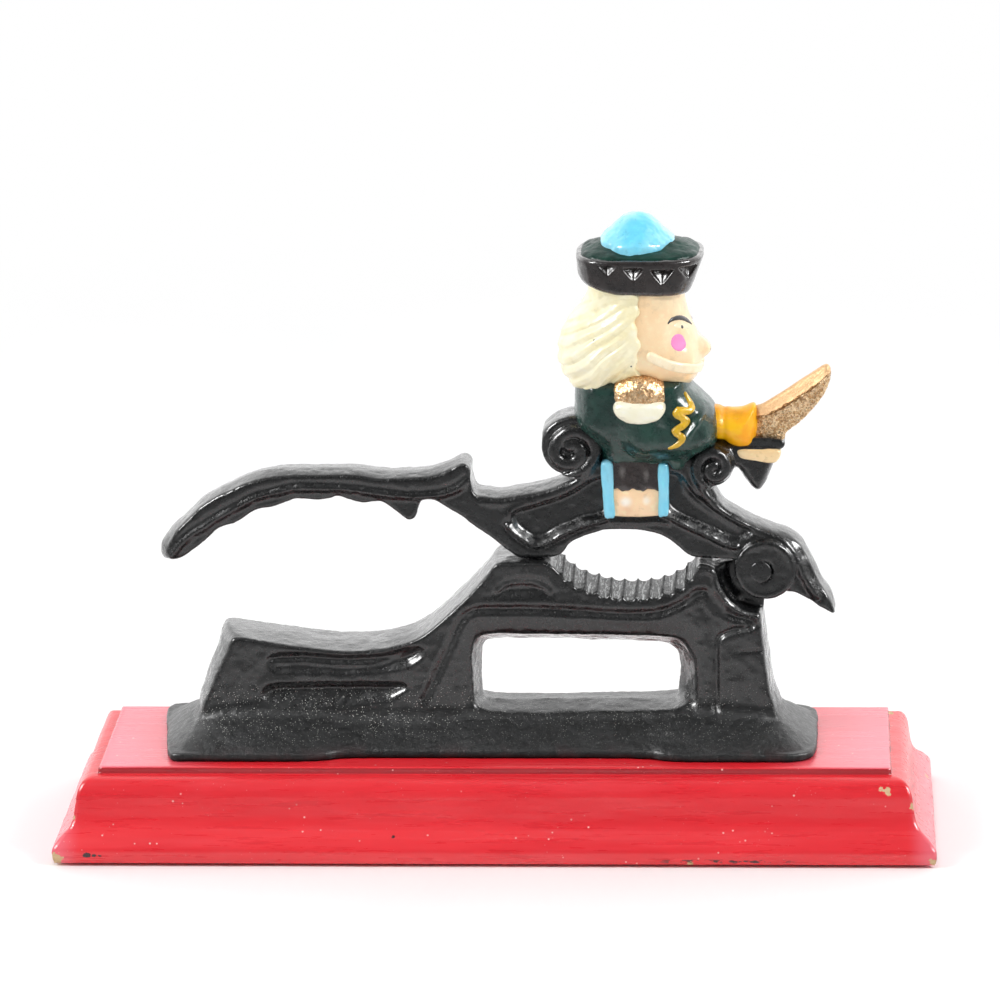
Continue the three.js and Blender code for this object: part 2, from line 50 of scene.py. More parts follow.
PIVOT = (78.7, 80.6)            # (x, z) of the pivot pin
EAR = (80.1, 81.1)              # (x, z) centre of the lever's round ears
CUP = (39.8, 99.8)              # (x, z) axis of the ribbed cup
RIB_PITCH = 8.35                # degrees between the cup's ribs
STAND_HALF = 10.2               # half thickness of the stand's body
LEVER_HALF = 6.6                # half thickness of the lever
PLINTH_HALF = (130.0, 41.2)     # half length and half width at the foot
PLINTH_TOP = 26.6
STAND_FLOOR = PLINTH_TOP + 0.05
SCREW_X = {"left": -58.0, "right": 68.0}
PAD_PLACE = (112.0, 30.0)       # |x|, |y| of the felt pads
EYE = np.array([93.3695, -1474.568, 538.0157])      # camera position

# =====================================================================
# Curves and distances
# =====================================================================


def spline(points, closed=False, step=0.7, rounding=math.ceil):
    """Catmull-Rom curve through the points, sampled about a step apart."""
    p = np.array(points, float)
    count = len(p)
    out = []
    for i in range(count if closed else count - 1):
        start, end = p[i], p[(i + 1) % count]
        before = p[i - 1] if closed or i > 0 else 2 * p[0] - p[1]
        after = p[(i + 2) % count] if closed or i + 2 < count else 2 * p[-1] - p[-2]
        square = 2 * before - 5 * start + 4 * end - after
        cube = -before + 3 * start - 3 * end + after
        steps = max(1, rounding(np.linalg.norm(end - start) / step))
        for k in range(steps):
            t = k / steps
            out.append(0.5 * (2 * start + (end - before) * t + square * t * t + cube * t ** 3))
    if not closed:
        out.append(p[-1])
    return np.array(out)


def to_segment(start, end, coords, slack=0.0):
    """Squared distance to a segment, and the fraction along it, in any dimension."""
    span = end - start
    offsets = [c - s for c, s in zip(coords, start)]
    along = sum(o * e for o, e in zip(offsets, span)) / (sum(span * span) + slack)
    along = np.clip(along, 0, 1)
    return sum((o - e * along) ** 2 for o, e in zip(offsets, span)), along


def poly_sdf(x, z, polygon):
    """Signed distance to a closed polygon, negative inside."""
    polygon = np.asarray(polygon, float)
    best = np.full(x.shape, 1e9)
    inside = np.zeros(x.shape, bool)
    for a, b in zip(polygon, np.roll(polygon, -1, axis=0)):
        best = np.minimum(best, to_segment(a, b, (x, z))[0])
        if a[1] != b[1]:
            crossing = (b[0] - a[0]) * (z - a[1]) / (b[1] - a[1]) + a[0]
            inside ^= ((z >= a[1]) != (z >= b[1])) & (x < crossing)
    distance = np.sqrt(best)
    return np.where(inside, -distance, distance)


def nearest_on_line(line, *coords):
    """Distance to an open line, and the fraction along it of the nearest point."""
    best = np.inf
    fraction = np.zeros(coords[0].shape)
    for i, (a, b) in enumerate(zip(line[:-1], line[1:])):
        squared, along = to_segment(a, b, coords, 1e-12)
        fraction = np.where(squared < best, (i + along) / (len(line) - 1), fraction)
        best = np.minimum(squared, best)
    return np.sqrt(best), fraction


def smin(a, b, blend):
    """Union of two fields with a rounded join."""
    h = np.clip(0.5 + 0.5 * (b - a) / blend, 0, 1)
    return b * (1 - h) + a * h - blend * h * (1 - h)


def smax(a, b, blend):
    """Intersection of two fields with a rounded edge."""
    return -smin(-a, -b, blend)


def ease(start, end, value):
    """Smooth step from 0 at start to 1 at end."""
    t = np.clip((value - start) / (end - start), 0, 1)
    return t * t * (3 - 2 * t)


def bell(distance, width):
    return np.exp(-(distance / width) ** 2)


def spot(x, z, centre, size):
    return np.exp(-((x - centre[0]) / size[0]) ** 2 - ((z - centre[1]) / size[1]) ** 2)


def swell(outline, amount):
    """Push a clockwise outline of (x, z, weight) outwards by amount times weight."""
    outline = np.array(outline, float)
    points = outline[:, :2]
    along = np.roll(points, -1, axis=0) - np.roll(points, 1, axis=0)
    normal = np.stack([-along[:, 1], along[:, 0]], -1)
    normal = normal / (np.linalg.norm(along, axis=1)[:, None] + 1e-9)
    return points + normal * (amount * outline[:, 2])[:, None]


def ellipsoid(x, y, z, centre, radii, tilt=0.0):
    x, y, z = x - centre[0], y - centre[1], z - centre[2]
    if tilt:
        c, s = math.cos(tilt), math.sin(tilt)
        x, z = x * c + z * s, -x * s + z * c
    rx, ry, rz = radii
    scaled = np.sqrt((x / rx) ** 2 + (y / ry) ** 2 + (z / rz) ** 2)
    slope = np.sqrt((x / rx ** 2) ** 2 + (y / ry ** 2) ** 2 + (z / rz ** 2) ** 2) + 1e-9
    return scaled * (scaled - 1) / slope


def capsule(x, y, z, start, end, radius):
    start, end = np.array(start, float), np.array(end, float)
    return np.sqrt(to_segment(start, end, (x, y, z))[0]) - radius


def pillow(sheet, y, edge, half):
    """Thicken a flat distance to a half thickness, rounding in over the edge width."""
    return np.hypot(np.maximum(edge + sheet, 0), np.abs(y) * (edge / half)) - edge


def squircle(x, y, half_x, half_y, power):
    """Approximate distance to a rounded rectangular plan."""
    u, v = np.abs(x) / half_x, np.abs(y) / half_y
    radius = (u ** power + v ** power) ** (1.0 / power)
    share = u ** 2 / (u ** 2 + v ** 2 + 1e-6)
    return (radius - 1) * (half_x * share + half_y * (1 - share))


def blur(field, sigma):
    """Gaussian blur of a 2-D array; sigma in cells."""
    reach = int(3 * sigma)
    kernel = np.exp(-0.5 * (np.arange(-reach, reach + 1) / sigma) ** 2)
    kernel /= kernel.sum()
    for axis in (0, 1):
        pad = [(reach, reach) if a == axis else (0, 0) for a in (0, 1)]
        padded = np.pad(field, pad, mode="reflect", reflect_type="odd")
        n = field.shape[axis]
        field = sum(w * (padded[i:i + n] if axis == 0 else padded[:, i:i + n])
                    for i, w in enumerate(kernel))
    return field


class Sheet:
    """Distance to an (x, z) outline, tabulated once and looked up anywhere."""

    def __init__(self, points, cell=0.4, closed=True, curved=True):
        outline = spline(points, closed, 0.8) if curved else np.array(points, float)
        margin = 14.0
        self.low = outline.min(0) - margin
        self.cell = cell
        axes = [a + cell * np.arange(int((b - a) / cell) + 2)
                for a, b in zip(self.low, outline.max(0) + margin)]
        x, z = np.meshgrid(*axes, indexing="ij")
        self.table = poly_sdf(x, z, outline) if closed else nearest_on_line(outline, x, z)[0]

    def __call__(self, x, z):
        x, z = np.broadcast_arrays(x, z)
        table = self.table
        u = np.clip((x - self.low[0]) / self.cell, 0, table.shape[0] - 1.001)
        v = np.clip((z - self.low[1]) / self.cell, 0, table.shape[1] - 1.001)
        i, j = u.astype(int), v.astype(int)
        fu, fv = u - i, v - j
        return (table[i, j] * (1 - fu) * (1 - fv) + table[i + 1, j] * fu * (1 - fv)
                + table[i, j + 1] * (1 - fu) * fv + table[i + 1, j + 1] * fu * fv)


class Grid:
    """Sample points: x, y, z broadcast in 3-D; flat_x, flat_z fill one (x, z) layer."""

    def __init__(self, low, high, cell):
        self.low = np.array(low, float)
        self.cell = cell
        self.axes = [a + cell * np.arange(int(math.ceil((b - a) / cell)) + 1)
                     for a, b in zip(low, high)]
        self.x, self.y, self.z = np.ix_(*[axis.astype(np.float32) for axis in self.axes])
        self.flat_x, self.flat_z = np.meshgrid(self.axes[0], self.axes[2], indexing="ij")

    def full(self):
        return np.broadcast_arrays(self.x, self.y, self.z)

    def lift(self, layer):
        """Repeat an (x, z) layer along y."""
        return layer[:, None, :].astype(np.float32)

    def region(self, points, step=0.8):
        """Layer of signed distance to a closed outline; step None keeps it straight sided."""
        outline = spline(points, True, step) if step else points
        return poly_sdf(self.flat_x, self.flat_z, outline)

    def trace(self, points, step=0.8):
        """Layer of distance to an open curve."""
        return nearest_on_line(spline(points, False, step), self.flat_x, self.flat_z)[0]

    def radius(self, centre):
        return np.hypot(self.flat_x - centre[0], self.flat_z - centre[1])

    def angle(self, centre):
        """Degrees from +x, 0 to 360."""
        return np.degrees(np.arctan2(self.flat_z - centre[1], self.flat_x - centre[0])) % 360


# =====================================================================
# Meshing
# =====================================================================


def surface_nets(field, grid):
    """One vertex in each cell the surface crosses, one quad on each crossed grid edge."""
    inside = (field < 0).astype(np.uint8)
    corners = [(a, b, c) for c in (0, 1) for b in (0, 1) for a in (0, 1)]
    filled = sum(inside[tuple(slice(a, a + n - 1) for a, n in zip(corner, inside.shape))]
                 for corner in corners)
    active = (filled > 0) & (filled < 8)
    cells = np.argwhere(active)
    count = len(cells)
    index = np.full(active.shape, -1, np.int32)
    index[active] = np.arange(count, dtype=np.int32)

    values = [field[tuple((cells + corner).T)].astype(np.float64) for corner in corners]
    total = np.zeros((count, 3))
    crossings = np.zeros(count)
    for (ca, fa), (cb, fb) in combinations(zip(corners, values), 2):
        if sum(abs(u - v) for u, v in zip(ca, cb)) != 1:
            continue
        crossed = (fa < 0) != (fb < 0)
        t = np.where(crossed, fa / np.where(crossed, fa - fb, 1.0), 0.0)
        for axis in range(3):
            total[:, axis] += np.where(crossed, ca[axis] + t * (cb[axis] - ca[axis]), 0.0)
        crossings += crossed
    verts = (cells + total / crossings[:, None]) * grid.cell + grid.low

    quads = []
    for axis in range(3):
        side1, side2 = (axis + 1) % 3, (axis + 2) % 3
        near, far = [slice(1, -1)] * 3, [slice(1, -1)] * 3
        near[axis], far[axis] = slice(0, -1), slice(1, None)
        first = inside[tuple(near)]
        edges = np.argwhere(first != inside[tuple(far)])
        flip = first[tuple(edges.T)] == 0
        edges[:, [side1, side2]] += 1
        around = []
        for back1, back2 in ((1, 1), (0, 1), (0, 0), (1, 0)):
            cell = edges.copy()
            cell[:, side1] -= back1
            cell[:, side2] -= back2
            around.append(index[tuple(cell.T)])
        quad = np.stack(around, -1)
        quad[flip] = quad[flip][:, ::-1]
        quads.append(quad)
    return verts, np.concatenate(quads)


def sum_at(index, vectors, count):
    """Add up the vectors that share an index."""
    return np.stack([np.bincount(index, weights=vectors[:, axis], minlength=count)
                     for axis in range(3)], -1)


def vert_normals(verts, quads):
    a, b, c, d = (verts[quads[:, k]] for k in range(4))
    face_normals = np.cross(c - a, d - b)
    total = sum(sum_at(quads[:, k], face_normals, len(verts)) for k in range(4))
    return total / (np.linalg.norm(total, axis=1)[:, None] + 1e-12)


def relax(verts, quads, weight):
    """Move each vertex part of the way to the mean of its neighbours."""
    edges = np.concatenate([quads[:, [k, (k + 1) % 4]] for k in range(4)])
    edges = np.concatenate([edges, edges[:, ::-1]])
    degree = np.bincount(edges[:, 0], minlength=len(verts)) + 1e-9
    mean = sum_at(edges[:, 0], verts[edges[:, 1]], len(verts)) / degree[:, None]
    return verts + weight * (mean - verts)


def value_noise(points, spacing, seed):
    """Smooth noise from -1 to 1 on a repeating lattice."""
    size = 32
    lattice = np.random.RandomState(seed).rand(size, size, size) * 2 - 1
    place = points / spacing + 100.0
    cell = np.floor(place).astype(int)
    t = place - cell
    t = t * t * (3 - 2 * t)
    out = 0
    for corner in np.ndindex(2, 2, 2):
        weight = np.prod(np.where(corner, t, 1 - t), axis=1)
        out = out + weight * lattice[tuple(((cell + corner) % size).T)]
    return out


def make_object(name, verts, quads, material):
    mesh = bpy.data.meshes.new(name)
    verts = np.asarray(verts, float) * MM
    mesh.vertices.add(len(verts))
    mesh.vertices.foreach_set("co", verts.astype(np.float32).ravel())
    mesh.loops.add(quads.size)
    mesh.loops.foreach_set("vertex_index", quads.astype(np.int32).ravel())
    mesh.polygons.add(len(quads))
    mesh.polygons.foreach_set("loop_start", (np.arange(len(quads)) * 4).astype(np.int32))
    mesh.update(calc_edges=True)
    mesh.polygons.foreach_set("use_smooth", np.ones(len(quads), bool))
    mesh.materials.append(MATERIALS[material])
    obj = bpy.data.objects.new(name, mesh)
    bpy.context.scene.collection.objects.link(obj)
    return obj


def add_part(name, verts, quads, material, body, replaced):
    """Make a mesh that rides on a body in place of a CAD piece."""
    obj = make_object(name, verts, quads, material)
    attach(obj, body)
    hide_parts(replaced)


def cast(name, field, grid, material, rough, seed,
         body="lever", replaced="lever_casting"):
    """Mesh a field; rough is (coarse height, coarse size, fine height, fine size)."""
    verts, quads = surface_nets(field, grid)
    verts = relax(verts, quads, 0.45)
    normals = vert_normals(verts, quads)
    height, size, fine_height, fine_size = rough
    bumps = (height * value_noise(verts, size, seed)
             + fine_height * value_noise(verts, fine_size, seed + 7))
    add_part(name, verts + normals * bumps[:, None], quads, material, body, replaced)


def piece(name, field, low, high, cell, material, rough, seed):
    """Cast a field function of x, y, z over a box, as part of the lever."""
    grid = Grid(low, high, cell)
    cast(name, field(*grid.full()).astype(np.float32), grid, material, rough, seed)


# =====================================================================
# Materials.  Texture coordinates are each object's own, in millimetres;
# colours are sRGB levels of 0 to 255.
# =====================================================================
MATERIALS = {}


def rgb(levels):
    """Linear RGBA from sRGB levels; sockets and linear RGBA pass unchanged."""
    if not isinstance(levels, tuple) or len(levels) == 4:
        return levels
    shares = [level / 255.0 for level in levels]
    return tuple(v / 12.92 if v <= 0.04045 else ((v + 0.055) / 1.055) ** 2.4
                 for v in shares) + (1.0,)


def shade(levels, factor, lift=0):
    return tuple(min(255, int(c * factor) + lift) for c in levels)


def blend(first, second, share):
    return tuple(int(a * (1 - share) + b * share) for a, b in zip(first, second))


class Graph:
    """Short calls that add nodes to a shader tree and return their output sockets."""

    def __init__(self, tree):
        self.tree = tree
        tree.nodes.clear()

    def node(self, kind, **settings):
        node = self.tree.nodes.new("ShaderNode" + kind)
        for key, value in settings.items():
            setattr(node, key, value)
        return node

    def put(self, socket, value):
        if isinstance(value, bpy.types.NodeSocket):
            self.tree.links.new(value, socket)
        else:
            socket.default_value = value

    def split(self, vector):
        node = self.node("SeparateXYZ")
        self.put(node.inputs[0], vector)
        return node.outputs

    def op(self, kind, a, b=0.0, c=None, clamp=False):
        node = self.node("Math", operation=kind, use_clamp=clamp)
        self.put(node.inputs[0], a)
        self.put(node.inputs[1], b)
        if c is not None:
            self.put(node.inputs[2], c)
        return node.outputs[0]

    def times(self, a, b):
        return self.op("MULTIPLY", a, b)

    def madd(self, value, factor, offset, clamp=False):
        """value * factor + offset"""
        return self.op("MULTIPLY_ADD", value, factor, offset, clamp)

    def span(self, value, start, end, to_start=0.0, to_end=1.0, smooth=True):
        """Map start..end to to_start..to_end, held beyond both ends."""
        node = self.node("MapRange", interpolation_type="SMOOTHSTEP" if smooth else "LINEAR")
        keys = ("Value", "From Min", "From Max", "To Min", "To Max")
        for key, setting in zip(keys, (value, start, end, to_start, to_end)):
            self.put(node.inputs[key], setting)
        return node.outputs[0]

    def mix_shaders(self, factor, first, second):
        node = self.node("MixShader")
        for socket, value in zip(node.inputs, (factor, first, second)):
            self.put(socket, value)
        return node.outputs[0]


class Material(Graph):
    """A principled material under construction; co, x, y, z are in millimetres."""

    def __init__(self, name):
        material = bpy.data.materials.new(name)
        material.use_nodes = True
        super().__init__(material.node_tree)
        MATERIALS[name] = material
        self.output = self.node("OutputMaterial").inputs[0]
        self.principled = self.node("BsdfPrincipled")
        self.put(self.output, self.principled.outputs[0])
        place = self.node("TexCoord").outputs["Object"]
        self.co = self.vec("SCALE", place, scale=1 / MM)
        self.x, self.y, self.z = self.split(self.co)

    def set(self, key, value):
        self.put(self.principled.inputs[key], value)

    def vec(self, kind, *vectors, scale=None):
        node = self.node("VectorMath", operation=kind)
        for socket, value in zip(node.inputs, vectors):
            self.put(socket, value)
        if scale is not None:
            self.put(node.inputs["Scale"], scale)
        return node.outputs[1 if kind in ("DISTANCE", "LENGTH") else 0]

    def radius_xz(self, x, z, stretch=(1, 0, 1)):
        """Distance in the (x, z) plane, with each axis scaled."""
        offset = self.vec("ADD", self.co, (-x, 0.0, -z))
        return self.vec("LENGTH", self.vec("MULTIPLY", offset, stretch))

    def noise(self, scale, detail, roughness, stretch=None, shift=0.0):
        co = self.co
        if stretch or shift:
            co = self.vec("MULTIPLY_ADD", co, stretch or (1, 1, 1),
                          (shift, shift * 0.7, shift * 1.3))
        node = self.node("TexNoise")
        node.inputs["Scale"].default_value = scale
        node.inputs["Detail"].default_value = detail
        node.inputs["Roughness"].default_value = roughness
        self.put(node.inputs["Vector"], co)
        return node.outputs[0]

    def cells(self, scale, output="Distance", co=None):
        node = self.node("TexVoronoi")
        node.inputs["Scale"].default_value = scale
        self.put(node.inputs["Vector"], co or self.co)
        return node.outputs[output]

    def mix(self, factor, first, second):
        node = self.node("Mix", data_type="RGBA")
        self.put(node.inputs[0], factor)
        self.put(node.inputs[6], rgb(first))
        self.put(node.inputs[7], rgb(second))
        return node.outputs[2]

    def bump(self, height, strength, depth, under=None):
        """Bump normal, laid over the normal under; depth in millimetres."""
        node = self.node("Bump")
        node.inputs["Strength"].default_value = strength
        node.inputs["Distance"].default_value = depth * MM
        self.put(node.inputs["Height"], height)
        if under is not None:
            self.put(node.inputs["Normal"], under)
        return node.outputs[0]


def iron(name, seed, wear_and_sheen, roughness):
    """Black enamelled casting; the wear flag adds pale specks painted as sparkle highlights,
    rubs, and the ribbed cup with pale streaks painted as highlights.
    """
    mat = Material(name)
    low = mat.noise(0.06, 3, 0.6, shift=seed)
    mid = mat.noise(0.55, 4, 0.62, shift=seed + 5)
    fine = mat.noise(1.9, 3, 0.65, shift=seed + 9)
    base = mat.mix(mat.span(low, 0.35, 0.65), (12, 13, 14), (22, 23, 24))

    # Pale specks painted as sparkle highlights, in patches, mostly low down and towards -x.
    sparkle_amount = float(wear_and_sheen)
    patch = mat.span(mat.noise(0.33, 2, 0.6, shift=seed + 31), 0.40, 0.52)
    low_band = mat.times(mat.span(mat.z, 49.0, 41.0), mat.span(mat.z, 29.0, 36.0))
    near = mat.times(low_band, mat.span(mat.x, 10.0, -40.0, 0.40, 1.0))
    dots = mat.times(mat.span(mat.cells(1.55), 0.25, 0.12), patch)
    dots = mat.times(dots, mat.madd(near, sparkle_amount, 0.10 * sparkle_amount, clamp=True))
    base = mat.mix(dots, base, (196, 196, 190))

    rough = mat.span(mid, 0.3, 0.7, *roughness)
    coat, ior = 1.0, 1.40
    coat_rough = mat.span(low, 0.3, 0.7, 0.07, 0.14)
    sand = mat.madd(mid, 0.85, mat.times(fine, 0.45))
    normal = mat.bump(sand, 0.75, 0.40)
    pits = mat.madd(mat.cells(0.75), 0.6, mat.noise(0.22, 2, 0.5, shift=seed + 70))
    normal = mat.bump(pits, 0.30, 0.35, normal)

    if wear_and_sheen:
        # Brown rubs on the lowest edge.
        patch = mat.span(mat.noise(0.12, 3, 0.6, shift=seed + 50), 0.46, 0.62)
        rub = mat.times(mat.span(mat.z, 31.5, 27.5), patch)
        base = mat.mix(mat.times(rub, 0.55), base, (58, 34, 36))

        # The ribbed cup, except where it faces front or back.
        geometry = mat.node("NewGeometry")
        cup = mat.times(mat.span(mat.radius_xz(*CUP), 30.2, 29.4),
                        mat.span(mat.z, 83.2, 82.2))
        facing = mat.op("ABSOLUTE", mat.split(geometry.outputs["Normal"])[1])
        cup = mat.times(cup, mat.span(facing, 0.55, 0.25))
        # Lines between the flutes; the added turns keep the fraction positive.
        angle = mat.op("ARCTAN2", mat.op("SUBTRACT", mat.x, CUP[0]),
                       mat.op("SUBTRACT", CUP[1], mat.z))
        turn = mat.madd(angle, 57.2958 / RIB_PITCH, 99.928)
        off_cusp = mat.op("ABSOLUTE", mat.op("SUBTRACT", mat.op("FRACT", turn), 0.5))
        cusp = mat.times(cup, mat.span(off_cusp, 0.17, 0.03))

        # Foot and cup are duller and less coated than the rest.
        foot = mat.span(mat.z, 41.5, 36.5)
        rough = mat.madd(cup, 0.10, mat.madd(foot, 0.10, rough))
        coat_rough = mat.madd(foot, 0.26, coat_rough)
        coat = mat.madd(foot, -0.45, mat.madd(cusp, -0.30, mat.madd(cup, -0.70, coat)))
        ior = mat.madd(cusp, -0.12, mat.madd(cup, -0.10, ior))
        # Pale grey streaks along the flutes are painted highlights.
        streak = mat.noise(1.9, 3, 0.7, stretch=(1, 0.08, 1), shift=seed + 90)
        bare_and_sheen = mat.times(mat.op("SUBTRACT", cup, cusp, clamp=True),
                         mat.span(streak, 0.53, 0.60))
        base = mat.mix(bare_and_sheen, base, (166, 168, 168))
        grit = mat.times(mat.noise(1.05, 3, 0.6, shift=seed + 81), foot)
        normal = mat.bump(grit, 0.34, 0.40, normal)

    mat.set("Base Color", base)
    mat.set("Roughness", rough)
    mat.set("IOR", ior)
    mat.set("Coat Weight", coat)
    mat.set("Coat IOR", 1.5)
    mat.set("Coat Roughness", coat_rough)
    mat.set("Normal", normal)


def enamel(name, light, dark, seed, rough=0.26, grain=0.45, wear=0.0, coat=0.45,
           stretch=(1, 1, 1), depth=0.20, under=(28, 28, 29), gloss=0.07, ior=1.5, highlight_spots=()):
    """Brushed glossy paint.

    grain is the streak scale, wear the share of chips showing the under colour, depth the
    bump in mm and gloss the coat's roughness.  The spots are painted highlights, each
    (x, z, x radius, z radius, amount, colour).
    """
    mat = Material(name)
    wash = mat.noise(0.11, 3, 0.6, shift=seed)
    streak = mat.noise(grain, 4, 0.6, stretch=stretch, shift=seed + 3)
    base = mat.mix(mat.span(wash, 0.34, 0.66), light, dark)
    base = mat.mix(mat.times(mat.span(streak, 0.52, 0.74), 0.35), base, shade(light, 1.1, 10))
    base = mat.mix(mat.times(mat.span(streak, 0.46, 0.28), 0.30), base, shade(dark, 0.80))
    if wear > 0:
        patch = mat.span(mat.noise(0.16, 2, 0.5, shift=seed + 20), 0.70 - wear, 0.74 - wear)
        chips = mat.times(mat.span(mat.cells(0.42), 0.16, 0.09), patch)
        base = mat.mix(chips, base, under)
    # Each spot paints a pale highlight patch.
    for x, z, radius_x, radius_z, amount, colour in highlight_spots:
        distance = mat.radius_xz(x, z, (1.0 / radius_x, 0, 1.0 / radius_z))
        distance = mat.madd(streak, 0.5, distance)
        base = mat.mix(mat.times(mat.span(distance, 1.25, 0.35), amount), base, colour)
    mat.set("Base Color", base)
    mat.set("Roughness", mat.span(streak, 0.3, 0.7, rough, rough + 0.16))
    mat.set("IOR", ior)
    mat.set("Coat Weight", min(1.0, coat * 1.6))
    mat.set("Coat Roughness", gloss)
    fine = mat.noise(1.5, 2, 0.6, shift=seed + 11)
    mat.set("Normal", mat.bump(mat.madd(streak, 0.8, mat.times(fine, 0.25)), 0.5, depth))


def gilt(name, seed, smoothness=0.0, size=2.1, dark=(196, 152, 102), light=(250, 222, 180),
         rough=(0.26, 0.48), metallic=0.62):
    """Gilding in facets of a cell scale size; smoothness evens out tone and bump."""
    mat = Material(name)
    facets = mat.node("SeparateColor")
    mat.put(facets.inputs[0], mat.cells(size, output="Color"))
    grain = mat.noise(0.9, 4, 0.7, shift=seed)
    mean = tuple(int(d * 0.3 + l * 0.7) for d, l in zip(dark, light))
    base = mat.mix(mat.span(facets.outputs[0], 0.1, 0.9),
                   blend(dark, mean, smoothness), blend(light, mean, smoothness))
    tarnish = mat.times(mat.span(grain, 0.50, 0.32), 0.75 * (1 - smoothness))
    mat.set("Base Color", mat.mix(tarnish, base, (118, 78, 40)))
    mat.set("Metallic", metallic)
    mat.set("Roughness", mat.span(facets.outputs[1], 0.0, 1.0, *rough))
    height = mat.madd(mat.cells(size), 0.6, mat.times(grain, 0.9))
    mat.set("Normal", mat.bump(height, 0.75 * (1 - 0.75 * smoothness), 0.40))


# Knocks on the plinth: (x, y, z, radius).
CHIPS = (
    (115.6, -33.5, 21.4, 1.15), (114.2, -33.2, 21.9, 0.7), (123.0, -34.2, 16.9, 0.9),
    (124.1, -35.4, 12.2, 0.5), (-128.9, -40.2, 2.2, 2.2), (129.2, -40.5, 2.2, 1.2),
    (-123.3, -34.5, 17.8, 0.5), (-123.9, -35.1, 13.4, 0.6), (-129.2, 40.3, 2.6, 2.4),
    (-40.0, 41.1, 4.0, 1.1), (117.4, 28.6, 23.8, 1.3), (-123.5, 34.6, 15.0, 1.0),
    (58.0, -41.0, 1.2, 1.0), (-122.6, 12.0, 20.0, 0.8), (128.6, 20.0, 7.2, 0.9),
    (60.0, 33.6, 20.6, 0.8),
)
# Dark marks on the plinth's front: (x, z, radius).
MARKS = ((-119.6, 3.7, 0.75), (-117.4, 3.6, 0.45), (-115.6, 3.5, 0.3), (-29.0, 8.6, 0.3))


def plinth_paint():
    mat = Material("plinth_red")
    wash = mat.noise(0.035, 4, 0.6, stretch=(0.35, 1, 1))
    grain = mat.noise(0.55, 4, 0.62, stretch=(0.07, 1, 1), shift=4)
    broad = mat.noise(0.16, 3, 0.6, stretch=(0.10, 1, 1), shift=9)
    base = mat.mix(mat.span(wash, 0.36, 0.64), (240, 44, 54), (230, 34, 46))
    base = mat.mix(mat.times(mat.span(broad, 0.52, 0.72), 0.35), base, (240, 70, 80))
    base = mat.mix(mat.times(mat.span(grain, 0.44, 0.28), 0.20), base, (178, 22, 36))

    # Painted glare: paler pink on the top towards the ends and on the end faces, where the gloss
    # reflects the bright studio.
    end = mat.op("ABSOLUTE", mat.x)
    painted_glare = mat.times(mat.span(mat.z, 26.2, 26.5), mat.span(end, 76.0, 116.0, 0.0, 0.42))
    painted_glare = mat.op("MAXIMUM", painted_glare, mat.span(end, 121.0, 129.0, 0.0, 0.30))
    base = mat.mix(painted_glare, base, (255, 168, 190))

    # Painted shade: darker red on the riser of the small step below the top.
    step = mat.times(mat.span(mat.z, 24.45, 24.75), mat.span(mat.z, 26.45, 26.1))
    base = mat.mix(mat.times(step, 0.62), base, (120, 16, 30))

    # Fine pale nicks, then dust.
    patch = mat.span(mat.noise(0.07, 2, 0.5, shift=33), 0.50, 0.58)
    nicks = mat.times(mat.span(mat.cells(0.30), 0.115, 0.055), patch)
    base = mat.mix(nicks, base, (252, 196, 190))
    specks = mat.cells(0.62, co=mat.vec("ADD", mat.co, (17.3, 5.1, 9.9)))
    patch = mat.span(mat.noise(0.09, 2, 0.6, shift=60), 0.52, 0.60)
    dust = mat.times(mat.span(specks, 0.13, 0.06), patch)
    base = mat.mix(mat.times(dust, 0.7), base, (246, 140, 140))

    # Bare wood in the knocks.
    bare_and_sheen = None
    for x, y, z, radius in CHIPS:
        ragged = mat.span(mat.noise(0.9, 2, 0.6, shift=x), 0.2, 0.8, -0.9, 0.9, smooth=False)
        distance = mat.op("ADD", mat.vec("DISTANCE", mat.co, (x, y, z)), ragged)
        chip = mat.span(distance, radius + 0.12, radius - 0.12)
        bare_and_sheen = chip if bare_and_sheen is None else mat.op("MAXIMUM", bare_and_sheen, chip)
    wood_grain = mat.noise(1.1, 3, 0.6, stretch=(0.15, 1, 1), shift=8)
    base = mat.mix(bare_and_sheen, base, mat.mix(wood_grain, (226, 196, 152), (196, 160, 112)))

    # Dark scuffs along the lower front edge, at +x.
    scuff = mat.noise(0.42, 3, 0.65, stretch=(0.45, 1, 1.6), shift=77)
    height = mat.times(mat.span(mat.z, 3.0, 2.4), mat.span(mat.z, 1.3, 1.8))
    scuff = mat.times(mat.span(scuff, 0.53, 0.58), height)
    scuff = mat.times(scuff, mat.times(mat.span(mat.x, 48.0, 53.0), mat.span(mat.x, 90.0, 84.0)))
    base = mat.mix(mat.times(scuff, mat.span(mat.y, -40.0, -40.6)), base, (62, 20, 22))
    for x, z, radius in MARKS:
        distance = mat.radius_xz(x, z, (0.6, 0, 1))
        distance = mat.madd(mat.noise(1.7, 2, 0.6, shift=z), 0.7, distance)
        mark = mat.times(mat.span(distance, radius + 0.40, radius + 0.28),
                         mat.span(mat.y, -34.0, -36.0))
        base = mat.mix(mark, base, (52, 22, 24))

    # Reflections of the paint are duller.
    mirrored = mat.node("LightPath").outputs["Is Glossy Ray"]
    base = mat.mix(mat.times(mirrored, 0.80), base, (66, 40, 40))
    mat.set("Base Color", base)
    mat.set("Roughness", mat.madd(bare_and_sheen, 0.35, mat.span(grain, 0.3, 0.7, 0.25, 0.36)))
    mat.set("IOR", 1.55)
    mat.set("Coat Weight", mat.madd(bare_and_sheen, -0.3, 0.3))
    mat.set("Coat Roughness", 0.22)
    height = mat.madd(grain, 0.7, mat.times(broad, 0.8))
    normal = mat.bump(mat.madd(bare_and_sheen, -0.9, height), 0.35, 0.22)
    mat.set("Normal", mat.bump(mat.noise(1.2, 2, 0.5, shift=90), 0.18, 0.12, normal))


